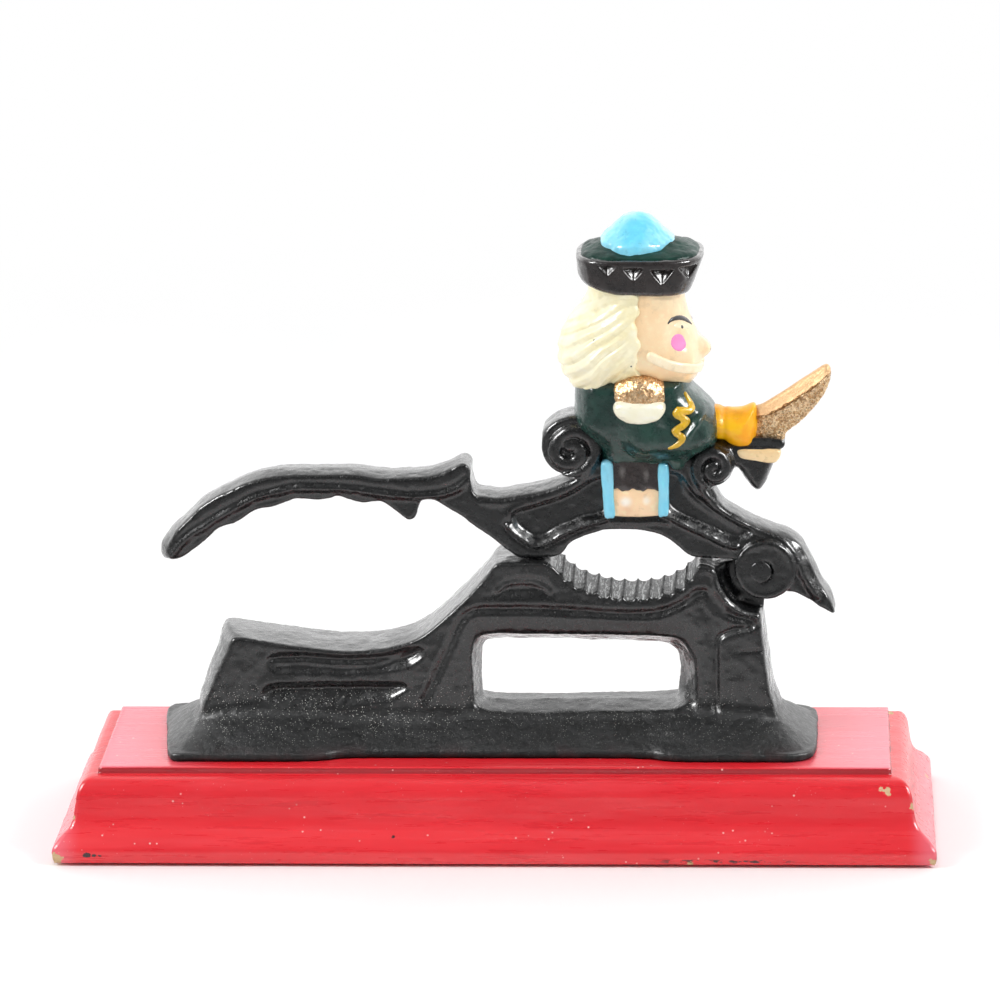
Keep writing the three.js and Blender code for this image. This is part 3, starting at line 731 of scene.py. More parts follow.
def zinc():
    mat = Material("zinc")
    colour = (150, 152, 154)
    grain = mat.noise(1.6, 4, 0.65)
    base = mat.mix(grain, colour, shade(colour, 0.72))
    stain = mat.span(mat.noise(0.35, 3, 0.6, shift=12), 0.55, 0.72)
    mat.set("Base Color", mat.mix(mat.times(stain, 0.5), base, (96, 84, 74)))
    mat.set("Metallic", 0.9)
    mat.set("Roughness", mat.span(grain, 0.3, 0.7, 0.38, 0.55))
    mat.set("Normal", mat.bump(grain, 0.35, 0.10))


def felt():
    mat = Material("felt")
    fibre = mat.noise(2.6, 4, 0.75)
    lump = mat.noise(0.5, 3, 0.6, shift=5)
    base = mat.mix(mat.span(fibre, 0.3, 0.7), (58, 92, 66), (38, 66, 46))
    base = mat.mix(mat.times(mat.span(lump, 0.5, 0.7), 0.4), base, (74, 104, 80))
    mat.set("Base Color", base)
    mat.set("Roughness", 0.95)
    mat.set("Sheen Weight", 0.6)
    mat.set("Normal", mat.bump(fibre, 0.9, 0.35))


def floor_material():
    """Near-white floor that fades to plain white far out and mirrors darker at the front."""
    mat = Material("floor")
    tone = mat.span(mat.noise(0.012, 3, 0.5), 0.3, 0.7)
    mat.set("Base Color", mat.mix(tone, (0.93, 0.93, 0.935, 1), (0.955, 0.955, 0.955, 1)))
    mat.set("Roughness", 0.85)
    mat.set("Specular IOR Level", 0.1)
    white = mat.node("Emission")
    white.inputs["Strength"].default_value = 1.0
    dark = mat.node("Emission")
    dark.inputs["Strength"].default_value = 0.10
    distance = mat.vec("LENGTH", mat.co)
    surface = mat.mix_shaders(mat.span(distance, 330.0, 760.0),
                              mat.principled.outputs[0], white.outputs[0])
    mirrored = mat.node("LightPath").outputs["Is Glossy Ray"]
    front = mat.times(mat.span(distance, 110.0, 270.0), mat.span(mat.y, 30.0, -70.0, 0.0, 0.74))
    mat.put(mat.output, mat.mix_shaders(mat.times(mirrored, front), surface, dark.outputs[0]))


# Grey painted as highlights on the dark trousers.
TROUSER_HIGHLIGHT_GREY = (150, 146, 144)
ENAMELS = {
    "green": dict(light=(30, 66, 57), dark=(19, 48, 43), seed=10, rough=0.22, grain=0.5,
                  wear=0.03, coat=0.38, gloss=0.09, ior=1.42),
    "green_top": dict(light=(18, 60, 50), dark=(11, 43, 37), seed=14, rough=0.30, grain=0.7,
                      coat=0.06, depth=0.26, gloss=0.14, ior=1.28),
    "hat": dict(light=(40, 33, 32), dark=(25, 21, 21), seed=18, rough=0.22, grain=0.55,
                wear=0.02, coat=0.55, under=(120, 120, 120), gloss=0.10),
    "legdark": dict(light=(44, 34, 32), dark=(28, 22, 22), seed=22, rough=0.18, grain=0.5,
                    coat=0.5, highlight_spots=((38.4, 111.6, 1.5, 2.6, 0.30, TROUSER_HIGHLIGHT_GREY),
                                     (45.4, 110.6, 1.3, 2.8, 0.28, TROUSER_HIGHLIGHT_GREY))),
    "blue": dict(light=(124, 214, 242), dark=(146, 220, 244), seed=26, rough=0.30, grain=0.5,
                 coat=0.35, stretch=(1, 1, 0.35)),
    "lightskin": dict(light=(255, 240, 206), dark=(254, 232, 192), seed=78, rough=0.28,
                      grain=0.42, coat=0.3),
    "pad_cream": dict(light=(253, 251, 232), dark=(248, 244, 216), seed=74, rough=0.24,
                      grain=0.42, wear=0.05, coat=0.5, stretch=(0.35, 1, 1)),
    "pom": dict(light=(108, 216, 248), dark=(146, 228, 250), seed=30, rough=0.26, grain=0.42,
                coat=0.5, gloss=0.16),
    "hair": dict(light=(253, 246, 212), dark=(249, 238, 192), seed=38, rough=0.34, grain=0.30,
                 wear=0.045, coat=0.30, stretch=(0.5, 1, 1), depth=0.30),
    "skin": dict(light=(255, 229, 186), dark=(254, 219, 172), seed=42, rough=0.28, grain=0.35,
                 wear=0.03, coat=0.45, gloss=0.16),
    # Near-white spots on the knees are painted highlights.
    "knee": dict(light=(255, 224, 182), dark=(252, 212, 168), seed=43, rough=0.26, grain=0.35,
                 coat=0.45, gloss=0.14, highlight_spots=((39.4, 102.6, 2.6, 2.2, 0.80, (255, 250, 240)),
                                               (45.4, 102.8, 1.8, 1.9, 0.70, (255, 248, 236)))),
    "cuff": dict(light=(255, 194, 4), dark=(255, 168, 0), seed=46, rough=0.34, grain=0.28,
                 coat=0.22, depth=0.10, gloss=0.22, ior=1.42),
    "squiggle": dict(light=(236, 186, 26), dark=(196, 156, 24), seed=50, rough=0.24,
                     grain=0.7, coat=0.5),
    "cheek": dict(light=(250, 146, 206), dark=(246, 136, 196), seed=54, rough=0.45, grain=0.5,
                  coat=0.0, gloss=0.3, ior=1.35),
    "feature": dict(light=(38, 34, 36), dark=(24, 22, 24), seed=58, rough=0.28, grain=0.6,
                    coat=0.4),
    "band_cream": dict(light=(252, 226, 178), dark=(246, 212, 158), seed=62, rough=0.26,
                       grain=0.5, coat=0.4),
    "gloss_black": dict(light=(30, 31, 32), dark=(20, 21, 22), seed=66, rough=0.18, grain=0.5,
                        coat=0.5),
}
GILTS = {
    "gold": dict(seed=5),
    "gold_smooth": dict(seed=8, smoothness=0.80, dark=(190, 146, 98), light=(236, 200, 154),
                        rough=(0.46, 0.62), metallic=0.50),
    "gold_soft": dict(seed=12, smoothness=0.45, size=1.5, dark=(190, 142, 94),
                      light=(252, 220, 178), rough=(0.16, 0.32), metallic=0.70),
    "gold_dark": dict(seed=15, dark=(120, 82, 44), light=(176, 134, 84)),
}


def build_materials():
    iron("iron_stand", seed=0.0, wear_and_sheen=True, roughness=(0.22, 0.40))
    iron("iron_lever", seed=40.0, wear_and_sheen=False, roughness=(0.20, 0.36))
    plinth_paint()
    zinc()
    felt()
    floor_material()
    for name, settings in ENAMELS.items():
        enamel(name, **settings)
    for name, settings in GILTS.items():
        gilt(name, **settings)


# =====================================================================
# Stand.  Outlines here and below are (x, z) unless noted.
# =====================================================================

# Stand silhouette: (x, z, weight of the swelling at mid thickness).
STAND_OUTLINE = [
    (-88, 34, 1), (-87, 40, 1.8), (-85.3, 43.6, 2), (-83.6, 47.7, 2), (-81.7, 51.8, 2),
    (-79.9, 55.5, 1.8), (-78.8, 58.2, 1.5), (-77.9, 60.2, 1), (-76.3, 60.8, 0.6),
    (-73.4, 60.5, 0.4), (-68.2, 59.5, 0.4), (-60.5, 58.2, 0.4), (-51.9, 57, 0.4),
    (-45, 56.5, 0.4), (-37, 56.8, 0.4), (-30, 57.9, 0.5), (-23.5, 60.1, 0.5),
    (-18.4, 63.5, 0.6), (-12.9, 68.6, 0.6), (-6.9, 74.4, 0.6), (-2.6, 79.2, 0.5),
    (0.2, 83, 0.2), (2.2, 83.9, 0), (5.5, 83.95, 0), (9, 83.95, 0), (14.6, 83.95, 0),
    (17, 83.2, 0), (19, 81.4, 0), (20.4, 79.4, 0.1), (22.7, 77.3, 0.1), (25.6, 75.6, 0.1),
    (29.1, 74.3, 0.1), (32.9, 73.2, 0.1), (37, 72.5, 0.1), (41.4, 72.3, 0.1),
    (45.6, 72.6, 0.1), (49.7, 73.4, 0.1), (53, 74.6, 0.1), (55.6, 76, 0.1), (57.7, 77.9, 0.1),
    (59.3, 80.3, 0), (60.2, 82.8, 0), (61.4, 83.3, 0), (62.9, 83, 0), (64.9, 82.2, 0),
    (66, 80.8, 0), (66.6, 78.4, 0), (67.6, 75.9, 0), (69, 73.6, 0), (71.2, 71.4, 0),
    (74, 69.7, 0), (77, 68.8, 0), (78.7, 68.3, 0.3), (79.1, 62, 1), (79.7, 56, 1.2),
    (80.4, 50, 1.2), (81.3, 44, 1.3), (82.6, 39.8, 1.4), (83.6, 35.5, 1), (83.6, 31, 0.4),
    (80, 29, 0), (60, 29, 0), (40, 29, 0), (20, 29, 0), (0, 29, 0), (-20, 29, 0), (-40, 29, 0),
    (-60, 29, 0), (-80, 29, 0), (-87.2, 29.5, 0.2),
]
# Window through the stand, at its faces and at mid thickness.
WINDOW_FACE = [
    (-7.3, 55.5), (-6.6, 60.3), (-4.4, 62.2), (-1, 62.6), (7.6, 62.7), (19.5, 62.4),
    (31.3, 62.3), (43.1, 62.1), (49.5, 61.8), (54.4, 61.3), (57.2, 59.6), (59, 56.5),
    (59.9, 53.1), (60.1, 49.4), (60.1, 44.7), (60.2, 41.6), (58.2, 39.4), (48.8, 38.1),
    (31, 37.5), (13, 37.2), (1.3, 37.4), (-5, 38.3), (-6.8, 40.4), (-7.2, 44.6), (-7.4, 50.9),
]
WINDOW_MIDDLE = [
    (-4.2, 53.5), (-3.7, 56.2), (-1.6, 57.4), (7, 57.5), (18.9, 57.4), (30.8, 57), (42.7, 56.7),
    (48.7, 56.5), (51.3, 55.8), (53.2, 54.3), (54.2, 52.2), (54.6, 49.4), (54.5, 45.9),
    (54.1, 42.4), (53.5, 39.6), (50.5, 38.9), (30.6, 38.8), (12.7, 38.6), (0.7, 38.6),
    (-3, 39.1), (-4.2, 40.8), (-4.4, 44.3), (-4.4, 50),
]
# Foot seen from above: (x, y).
FOOT_PLAN = [
    (94.6, -16.5), (92.9, -21), (89, -23.2), (84, -23.6), (58, -23.6), (50, -22.6),
    (43, -20.6), (20, -20.4), (0, -20.5), (-20, -20.4), (-43, -20.6), (-50, -22.6),
    (-57, -23.6), (-72, -23.9), (-88, -23.9), (-94.2, -23.7), (-96.2, -22.4), (-97.2, -18.6),
    (-98.2, -12), (-100.4, 6), (-101.6, 18), (-100.8, 21.8), (-97.4, 23.6), (-76, 23.8),
    (-57, 23.6), (-50, 22.6), (-43, 20.6), (-20, 20.4), (0, 20.5), (20, 20.4), (43, 20.6),
    (50, 22.6), (58, 23.6), (86, 23.6), (92, 22.2), (95.2, 17.5), (95.4, 8), (95.2, -9),
]


def cup_ribs(grid):
    """Ribs of the cup, which run front to back, as a layer from 0 to 1."""
    angle = np.degrees(np.arctan2(grid.flat_x - CUP[0], CUP[1] - grid.flat_z))
    radius = grid.radius(CUP)
    turn = (angle - 0.6) / RIB_PITCH
    turn = turn - np.round(turn)
    flute = np.sqrt(np.clip(1 - (2 * np.abs(turn)) ** 2, 0, 1))
    zone = (ease(-47.5, -44.5, angle) * (1 - ease(43.5, 46.5, angle))
            * ease(21, 23, radius) * (1 - ease(30, 33, radius)))
    return (1 - flute) * zone


def stand_relief(grid, outline):
    """Height added to the stand's faces; outline is the silhouette's distance layer."""
    z = grid.flat_z
    relief = np.zeros_like(z)
    # Two long hollows at -x, the upper one with a ridge.
    upper = grid.region([
        (-66.2, 55.3), (-57.8, 56), (-45.9, 55.2), (-34, 55.6), (-26, 57.6), (-21.4, 57.3),
        (-22.2, 54.6), (-27.6, 51.5), (-40.1, 49.9), (-58, 50), (-65.2, 50.2), (-67.8, 52.6)])
    lower = grid.region([
        (-68.9, 44.3), (-65.6, 46.1), (-52.1, 46.6), (-34.2, 46.7), (-26.8, 46), (-28.1, 44),
        (-32.9, 41.2), (-46.4, 39.9), (-61.3, 39.8), (-67.9, 40.4), (-69.9, 42.4)])
    relief -= 2.3 * ease(0.9, -2.2, upper) * (0.60 + 0.40 * ease(51.6, 55.0, z))
    relief -= 2.7 * ease(0.9, -2.4, lower) * (0.50 + 0.50 * ease(41.0, 45.2, z))
    ridge = grid.trace([
        (-66.3, 52.9), (-57.9, 53.3), (-50.5, 52.7), (-43, 52.3), (-35.6, 52.9), (-28.1, 55),
        (-24.3, 56.8)], 1.0)
    relief += 0.85 * bell(ridge, 1.1) * ease(0.2, -1.2, upper)
    # Groove over the window, with a soft bead beside it.
    groove = grid.trace([
        (-21.4, 41.4), (-19.4, 45.2), (-17.2, 50.2), (-14.7, 55.5), (-12.6, 60.2), (-11, 64),
        (-9.2, 67.1), (-6.8, 68.9), (-3.5, 69.7), (1.9, 69.8), (13.7, 69.7), (24, 69.2),
        (31.4, 68.6), (37.3, 68.2), (43.2, 68.2), (47.6, 68.6), (52, 69.8), (55, 71.4),
        (57.9, 73.2), (60, 74.9), (62.1, 75.2), (63.5, 74.3), (65, 71.7), (67, 69.2),
        (71.2, 67.4), (76.5, 65.9)], 1.0)
    relief -= 0.72 * bell(groove, 0.95)
    relief += 0.22 * bell(groove - 2.1, 0.9)
    # Sunk frame round the window.
    frame = grid.region([
        (-11.5, 30), (-11.5, 39.9), (-11.4, 44.6), (-11.3, 47.8), (-10.9, 54), (-10.5, 58.7),
        (-9.2, 62.7), (-7.1, 64.9), (-4.1, 66), (1.8, 66.2), (19.5, 65.8), (31.3, 65.7),
        (43.1, 65.8), (54.9, 65.6), (58.5, 64.3), (60.8, 61.5), (61.8, 57.8), (61.9, 50.9),
        (61.9, 40), (61.9, 30)], 1.0)
    relief -= 1.15 * np.clip((1.0 - frame) / 4.6, 0, 1) ** 1.4
    # Arched hollow and ridge at the top, beside the cup.
    arch = grid.region([
        (-0.1, 74.6), (2, 77), (4.4, 78.7), (7.9, 79.6), (11.5, 79.7), (14.1, 79.2),
        (16.2, 77.7), (18, 75.3), (18, 73.9), (13.7, 73.6), (4.9, 73.6), (0.3, 73.7)])
    relief -= 1.25 * ease(0.9, -2.2, arch)
    ridge = grid.trace([
        (1.2, 75.2), (4.3, 77.2), (7.9, 77.9), (11.4, 77.9), (14.1, 77), (16.9, 74.9)])
    relief += 0.8 * bell(ridge, 0.95) * ease(0.3, -0.6, arch)
    # Raised panel below the pivot, with a notch.
    groove = grid.trace([
        (65.3, 38), (65.4, 47.8), (65.5, 54), (65.8, 59.6), (67.2, 61.7), (70.8, 63.1),
        (76, 64.3)], 1.0)
    relief -= 0.85 * bell(groove, 0.9)
    panel = grid.region(
        [(65.6, 36), (65.6, 60), (67.4, 61.9), (71, 63.4), (84, 65.8), (88, 36)], None)
    relief += 0.45 * ease(0.0, -1.4, panel)
    notch = nearest_on_line(np.array([(72.4, 56.6), (79.8, 57.0)]), grid.flat_x, z)[0]
    relief -= 0.45 * bell(notch, 0.35)
    # Lip round the pivot recess.
    lip = 0.75 * bell(outline + 1.35, 0.85) - 0.20 * bell(outline + 3.0, 0.8)
    relief += lip * ease(16.0, 14.2, grid.radius(PIVOT)) * (outline < 0.5)
    return relief


def stand_foot(grid):
    """Foot with a narrow waist in plan, a thin edge and a domed top."""
    x, y = np.meshgrid(grid.axes[0], grid.axes[1], indexing="ij")
    plan = poly_sdf(x, y, spline(FOOT_PLAN, True, 1.0))
    straight = np.maximum(-plan, 0)
    inner = np.maximum(blur(-plan, 15.0), 0) * 0.85 + straight * 0.15
    ends = ease(44, 62, np.abs(x))
    inner = np.where(np.abs(x) > 62, inner, straight * (1 - ends) + inner * ends)
    top = 29.2 + 9.3 * np.clip((inner - 0.4) / 13.0, 0, 1.6) ** 0.92
    foot = smax(plan[:, :, None].astype(np.float32), (grid.z - top[:, :, None]) * 0.84, 0.7)
    return smax(foot, STAND_FLOOR - grid.z, 0.3)


def lean_end(body, grid):
    """Run the -x end of the body out a little further towards the back."""
    xs, ys, zs = grid.axes
    slope = 0.010 + 0.065 * ease(38.0, 56.0, zs) + 0.135 * ease(53.0, 60.5, zs)
    lean = slope[None, :] * ease(-56.0, -84.0, xs)[:, None]
    layers = np.arange(len(zs))[None, :]
    moved = np.empty_like(body)
    for j, y in enumerate(ys):
        source = np.arange(len(xs))[:, None] + lean * max(y + STAND_HALF, 0) / grid.cell
        source = source.clip(0, len(xs) - 1.001)
        i = source.astype(int)
        part = (source - i).astype(np.float32)
        moved[:, j] = body[i, j, layers] * (1 - part) + body[i + 1, j, layers] * part
    return moved


def build_stand():
    grid = Grid((-103.5, -25.0, 26.1), (98.5, 25.0, 86.2), 0.5)
    lift = grid.lift
    depth = np.abs(grid.y)
    face = grid.region([p[:2] for p in STAND_OUTLINE], 1.0)
    middle = grid.region(swell(STAND_OUTLINE, 1.15), 1.0)
    t = np.clip(depth / STAND_HALF, 0, 1.05) ** 1.6
    body = lift(middle) * (1 - t) + lift(face) * t
    # The ribs stand tallest at the front lip.
    rib_height = 1.55 + 0.65 * ease(2.0, -9.0, grid.y) - 0.25 * ease(4.0, 9.5, grid.y)
    body = body - lift(cup_ribs(grid)) * rib_height
    body = smax(body, depth - STAND_HALF - lift(stand_relief(grid, face)), 1.0)
    body = smax(body, 30.0 - grid.z, 0.5)

    field = smin(lean_end(body, grid), stand_foot(grid), 3.0)
    field = smax(field, STAND_FLOOR - grid.z, 0.3)
    t = np.clip(depth / STAND_HALF, 0, 1.1)
    window = (lift(grid.region(WINDOW_MIDDLE, 1.0)) * (1 - t)
              + lift(grid.region(WINDOW_FACE, 1.0)) * t)
    field = smax(field, -window, 1.1)

    # Pivot tongue between the lever's ears, and its bore.
    radius, angle = grid.radius(PIVOT), grid.angle(PIVOT)
    tongue = np.minimum(radius - 8.6, grid.region(
        [PIVOT, (70.4, 82.6), (65.6, 82), (63, 78), (64, 66), (77, 64), (79.2, 66.5),
         (80, 72.2)], None))
    half = 4.0 + (ease(165, 178, angle) * (1 - ease(226, 244, angle))
                  * np.clip((radius - 9.4) * 1.35, 0, 6.1))
    field = smin(field, smax(lift(tongue), depth - lift(half), 0.5), 0.5)
    field = smax(field, -smax(lift(radius - 3.3), depth - 6.0, 0.1), 0.3)
    cast("stand_body", field, grid, "iron_stand",
         rough=(0.15, 3.6, 0.075, 1.25), seed=3, body="base", replaced="stand_casting")


# =====================================================================
# Lever
# =====================================================================

# Lever silhouette: (x, z, weight of the swelling at mid thickness).
LEVER_OUTLINE = [
    (-96.2, 84.6, 3.6), (-96.1, 87.2, 3.6), (-94.9, 90.2, 2.6), (-93.4, 93, 1.8),
    (-91.8, 94.6, 1.4), (-89.9, 96.8, 1), (-86.9, 99.8, 1), (-83.8, 101.9, 1),
    (-80.7, 103.6, 1), (-77.6, 105, 1), (-74.6, 106.5, 1), (-71.6, 107.7, 1), (-68.5, 108.6, 1),
    (-65.5, 109.2, 1), (-61, 109.7, 1), (-50.7, 109.8, 1), (-40.6, 109.8, 1), (-33.6, 108.8, 1),
    (-26.2, 108.8, 1), (-19.1, 109.3, 1), (-15.6, 110.3, 1), (-12.6, 111.5, 0.7),
    (-10.8, 112.5, 0.4), (-9, 113.3, 0.2), (-7.4, 113, 0), (-6.3, 111.2, 0), (-6.4, 108.5, 0),
    (-5.1, 104, 0.3), (-1.4, 103, 0.8), (2.2, 102.7, 0.8), (8.2, 103.7, 0.8),
    (14.3, 104.8, 0.8), (20.3, 106.9, 0.8), (23.8, 108.4, 0.8), (26.5, 110.3, 0.8),
    (29.5, 113.2, 0), (44, 115, 0), (58, 114.6, 0), (61.8, 108.8, 0.6), (64.9, 104.2, 0.9),
    (67.2, 100.1, 1.2), (70.8, 97.5, 1.2), (74.5, 95.4, 1.2), (78.4, 93.4, 1.2),
    (82.4, 91.8, 1.2), (86.5, 90.5, 1.2), (89.7, 88.4, 1.2), (91.8, 85, 1.2), (94.1, 80.3, 1.2),
    (95.9, 76.1, 1.2), (99.1, 71.3, 1), (100.4, 67.2, 0.4), (96.7, 69, 0.3), (93.2, 71.3, 0.3),
    (89.1, 73.6, 0.2), (86.6, 73.8, 0), (80, 74.4, 0), (72.8, 80.8, 0), (70.7, 83.6, 0),
    (68.5, 83.85, 0), (63.5, 84.15, 0), (59.4, 84.5, 0), (57.2, 85.5, 0.2), (55, 87.5, 0.3),
    (52.4, 89.7, 0.5), (48.6, 91.7, 0.6), (44.2, 92.7, 0.7), (38.9, 93.1, 0.7),
    (34.5, 93.1, 0.7), (31.5, 92.7, 0.7), (26.8, 91.1, 0.6), (23.8, 89.7, 0.4), (22, 88.3, 0.3),
    (20.8, 86.3, 0.1), (19.4, 85.1, 0), (17, 84.5, 0), (14, 84.25, 0), (10.2, 84.22, 0),
    (7.5, 84.5, 0.1), (4.9, 86.3, 0.3), (3.3, 87.3, 0.5), (2, 88.7, 0.7), (-1.7, 91.6, 0.8),
    (-5.3, 94.1, 0.8), (-8.8, 96.8, 0.8), (-13.7, 100, 0.8), (-15.8, 101.4, 0.7),
    (-18.2, 102.2, 0.6), (-20.2, 102.2, 0.6), (-21.4, 101.4, 0.5), (-22.3, 99.3, 0.4),
    (-22.7, 97.5, 0.4), (-23.4, 96.4, 0.5), (-24.8, 95.9, 0.6), (-25.9, 96.5, 0.7),
    (-27.9, 98.2, 0.8), (-30, 99.9, 0.8), (-32.3, 101.5, 0.8), (-33.7, 101.8, 0.8),
    (-35.8, 101.5, 0.8), (-38.2, 101.3, 0.8), (-41.4, 102.1, 0.8), (-44.1, 103, 0.8),
    (-45.9, 103.5, 0.8), (-48.2, 102.7, 0.8), (-50.9, 102.2, 0.8), (-53.3, 102.3, 0.8),
    (-58.1, 102.5, 0.8), (-60.4, 101.8, 0.8), (-62.8, 100.9, 0.8), (-65.5, 100, 0.8),
    (-68.4, 99.7, 0.8), (-70.2, 99.2, 0.8), (-72.4, 97.8, 0.8), (-74.5, 96.3, 0.8),
    (-76.9, 95, 0.8), (-79.3, 94.3, 0.8), (-82, 93.2, 0.8), (-83.9, 91.4, 0.8),
    (-86.6, 88.9, 0.8), (-89.1, 87, 0.8), (-91.2, 85.5, 1), (-94.4, 84.2, 1.6),
]
HANDLE_RIDGE = [
    (-97, 84), (-94.1, 87.3), (-92.5, 89.2), (-89.2, 92), (-84.9, 94.6), (-82.5, 96.3),
    (-78.6, 98.6), (-74.9, 100.6), (-71, 102.8), (-67.1, 104), (-63.2, 104.9), (-59.7, 105.8),
    (-55.8, 106.1), (-44.9, 105.9), (-40.8, 105.5), (-33.7, 104.5), (-26.3, 103.6),
    (-21.9, 103.5), (-17.5, 103.8), (-13.6, 104.5), (-10.1, 106), (-7.2, 108.2),
]
VOLUTE_LEFT = [
    (15, 106.2), (19.2, 107.5), (22.1, 108.6), (24.8, 109.9), (27.7, 111.8), (30, 114.6),
    (30.65, 117.6), (29.3, 120.8), (26.6, 122.7), (23.3, 123.1), (20.6, 121.6), (19, 119.3),
    (18.5, 116.7), (19.7, 114.4), (22.2, 113.3), (24.6, 113.9), (26.1, 115.9), (25.9, 118),
    (24.5, 119.3), (22.9, 119.1),
]
VOLUTE_RIGHT = [
    (70.6, 97.3), (67.8, 99.9), (65.2, 102.4), (62.9, 104.8), (61.3, 107.3), (60.35, 110),
    (60.2, 112.3), (60.95, 114.5), (62.6, 116), (64.7, 116.6), (66.7, 116), (68.2, 114.5),
    (68.8, 112.3), (68.2, 110.6), (66.7, 109.4), (65, 109.2), (63.9, 110.4), (63.9, 111.9),
    (65.2, 112.9),
]
# Scrolls: centre, disc radius, half thickness, half width of the bead, path of the bead.
SCROLLS = (
    ((23.6, 118.4), 9.0, 6.5, 2.15, VOLUTE_LEFT),
    ((64.4, 112.6), 6.6, 6.4, 1.85, VOLUTE_RIGHT),
)


def handle_relief(grid, relief):
    """Bead along the top, a groove above it and a dished side below."""
    ridge = spline(HANDLE_RIDGE, False, 1.0)
    distance = nearest_on_line(ridge, grid.flat_x, grid.flat_z)[0]
    side = grid.region(np.vstack([ridge, [(-2, 112), (-2, 80), (-100, 80)]]), None)
    handle = 1 - ease(-9.5, -5.5, grid.flat_x)
    relief -= 0.95 * (ease(0.6, -0.6, side) * handle) * ease(0.2, 2.4, distance)
    above = np.where(side > 0, distance, 0)
    relief -= 0.45 * bell(above - 1.5, 0.9) * handle * (side > 0)
    relief += 0.22 * bell(distance, 0.6) * handle


def arm_relief(grid, relief):
    """Sunk panels and beads on both arms; returns the distance to the right edge bead."""
    # Left arm: panel, raised lower lip, line along the top.
    panel = grid.region([
        (5.3, 97.4), (6.4, 99), (10.4, 100.2), (18.1, 102.5), (23.8, 105.2), (27.9, 107.9),
        (30.9, 109.3), (33.4, 109), (33.8, 103.3), (33.4, 98), (26.9, 95.9), (21.8, 93.8),
        (18, 91.9), (15.3, 90.4), (12.3, 89.8), (8.5, 92), (6.2, 94.4)])
    relief -= 1.75 * ease(0.4, -1.5, panel)
    lip = grid.trace([
        (4.6, 94.3), (6.4, 92.2), (8.9, 90.2), (12.3, 88.4), (15.9, 89.3), (21.8, 92.4),
        (27.4, 94.8), (33.5, 96.6)])
    relief += 1.10 * bell(lip, 0.85)
    relief -= 0.35 * bell(lip - 1.35, 0.45) * (panel > 0.5)
    line = grid.trace([
        (4.2, 97.5), (7, 100.3), (14, 102.3), (20.5, 104.6), (25.5, 107.7), (29, 111)])
    relief += 0.45 * bell(line, 0.9)
    # Right arm: panel, lower lip, ridge within the panel.
    panel = grid.region([
        (50.6, 110.4), (55.6, 110), (58.5, 106), (61.9, 102.2), (65.7, 99), (70.4, 96),
        (75, 93.6), (76.6, 92.2), (75.2, 90.7), (72.1, 89.6), (69.2, 90), (63.3, 92.9),
        (58, 95.4), (52.8, 98.2), (50.4, 102.3)])
    relief -= 1.75 * ease(0.4, -1.5, panel)
    lip = grid.trace([
        (50.8, 97.6), (53.4, 96.4), (58, 93.9), (63.3, 91.4), (68.6, 88.7), (71.8, 88)])
    relief += 1.15 * bell(lip, 0.85)
    line = grid.trace([(55.5, 108.8), (57.2, 104.3), (61, 100.4), (66.2, 96.8), (72.5, 93.2)])
    relief += 0.5 * bell(line, 0.7) * ease(0.2, -0.5, panel)
    # Beads along the outer edges, then a line along the arch.
    edge = grid.trace([
        (60.2, 109.5), (62.4, 105.2), (66, 100.8), (71, 97.2), (76.5, 94.2), (82, 91.9),
        (86.4, 89), (89.2, 84.6), (91.8, 78.8), (95, 73.2)])
    relief += 1.05 * bell((edge - 0.2).clip(0), 0.95) - 0.30 * bell(edge - 2.3, 0.6)
    left_edge = grid.trace([
        (-3.5, 101.6), (3, 101.3), (9, 102.6), (15, 103.9), (21, 106.1), (25.4, 108.7),
        (28.6, 111.2)])
    relief += 0.40 * bell(left_edge, 0.95)
    arch = grid.trace([(31, 95.3), (36, 95.6), (42.2, 95.4), (48, 95.6), (52, 95.2)])
    relief += 0.55 * bell(arch, 0.7)
    return edge


def add_scrolls(grid, field, depth):
    """The two scrolls, the shoulder by the left one and the web by the right one."""
    lift = grid.lift
    for centre, disc_radius, half, width, path in SCROLLS:
        bead = grid.trace(path, 0.5)
        height = (half + 1.75 * np.sqrt(np.clip(1 - (bead / width) ** 2, 0, 1))
                  - 0.35 * bell(bead - width - 0.3, 0.5))
        disc = grid.radius(centre) - disc_radius
        field = smin(field, smax(lift(disc), depth - lift(height), 1.6), 1.2)
    shoulder = grid.region([
        (15.2, 121.8), (18, 125), (24.7, 127.6), (30, 126), (30, 116), (20, 114)])
    field = smin(field, smax(lift(shoulder), depth - 5.6, 2.4), 1.5)
    web = grid.region([
        (60, 118), (60.5, 108), (64.9, 105.4), (66.4, 107.2), (68.6, 108.9), (70.9, 110.4),
        (71.9, 110.6), (74.1, 107.4), (76.3, 104.6), (78.1, 103.7), (80, 105.5), (82.7, 111.9),
        (84, 115.4), (84.8, 118.8), (76, 119.4), (66, 119.6)])
    return smin(field, pillow(lift(web), grid.y, edge=3.0, half=4.4), 1.2)


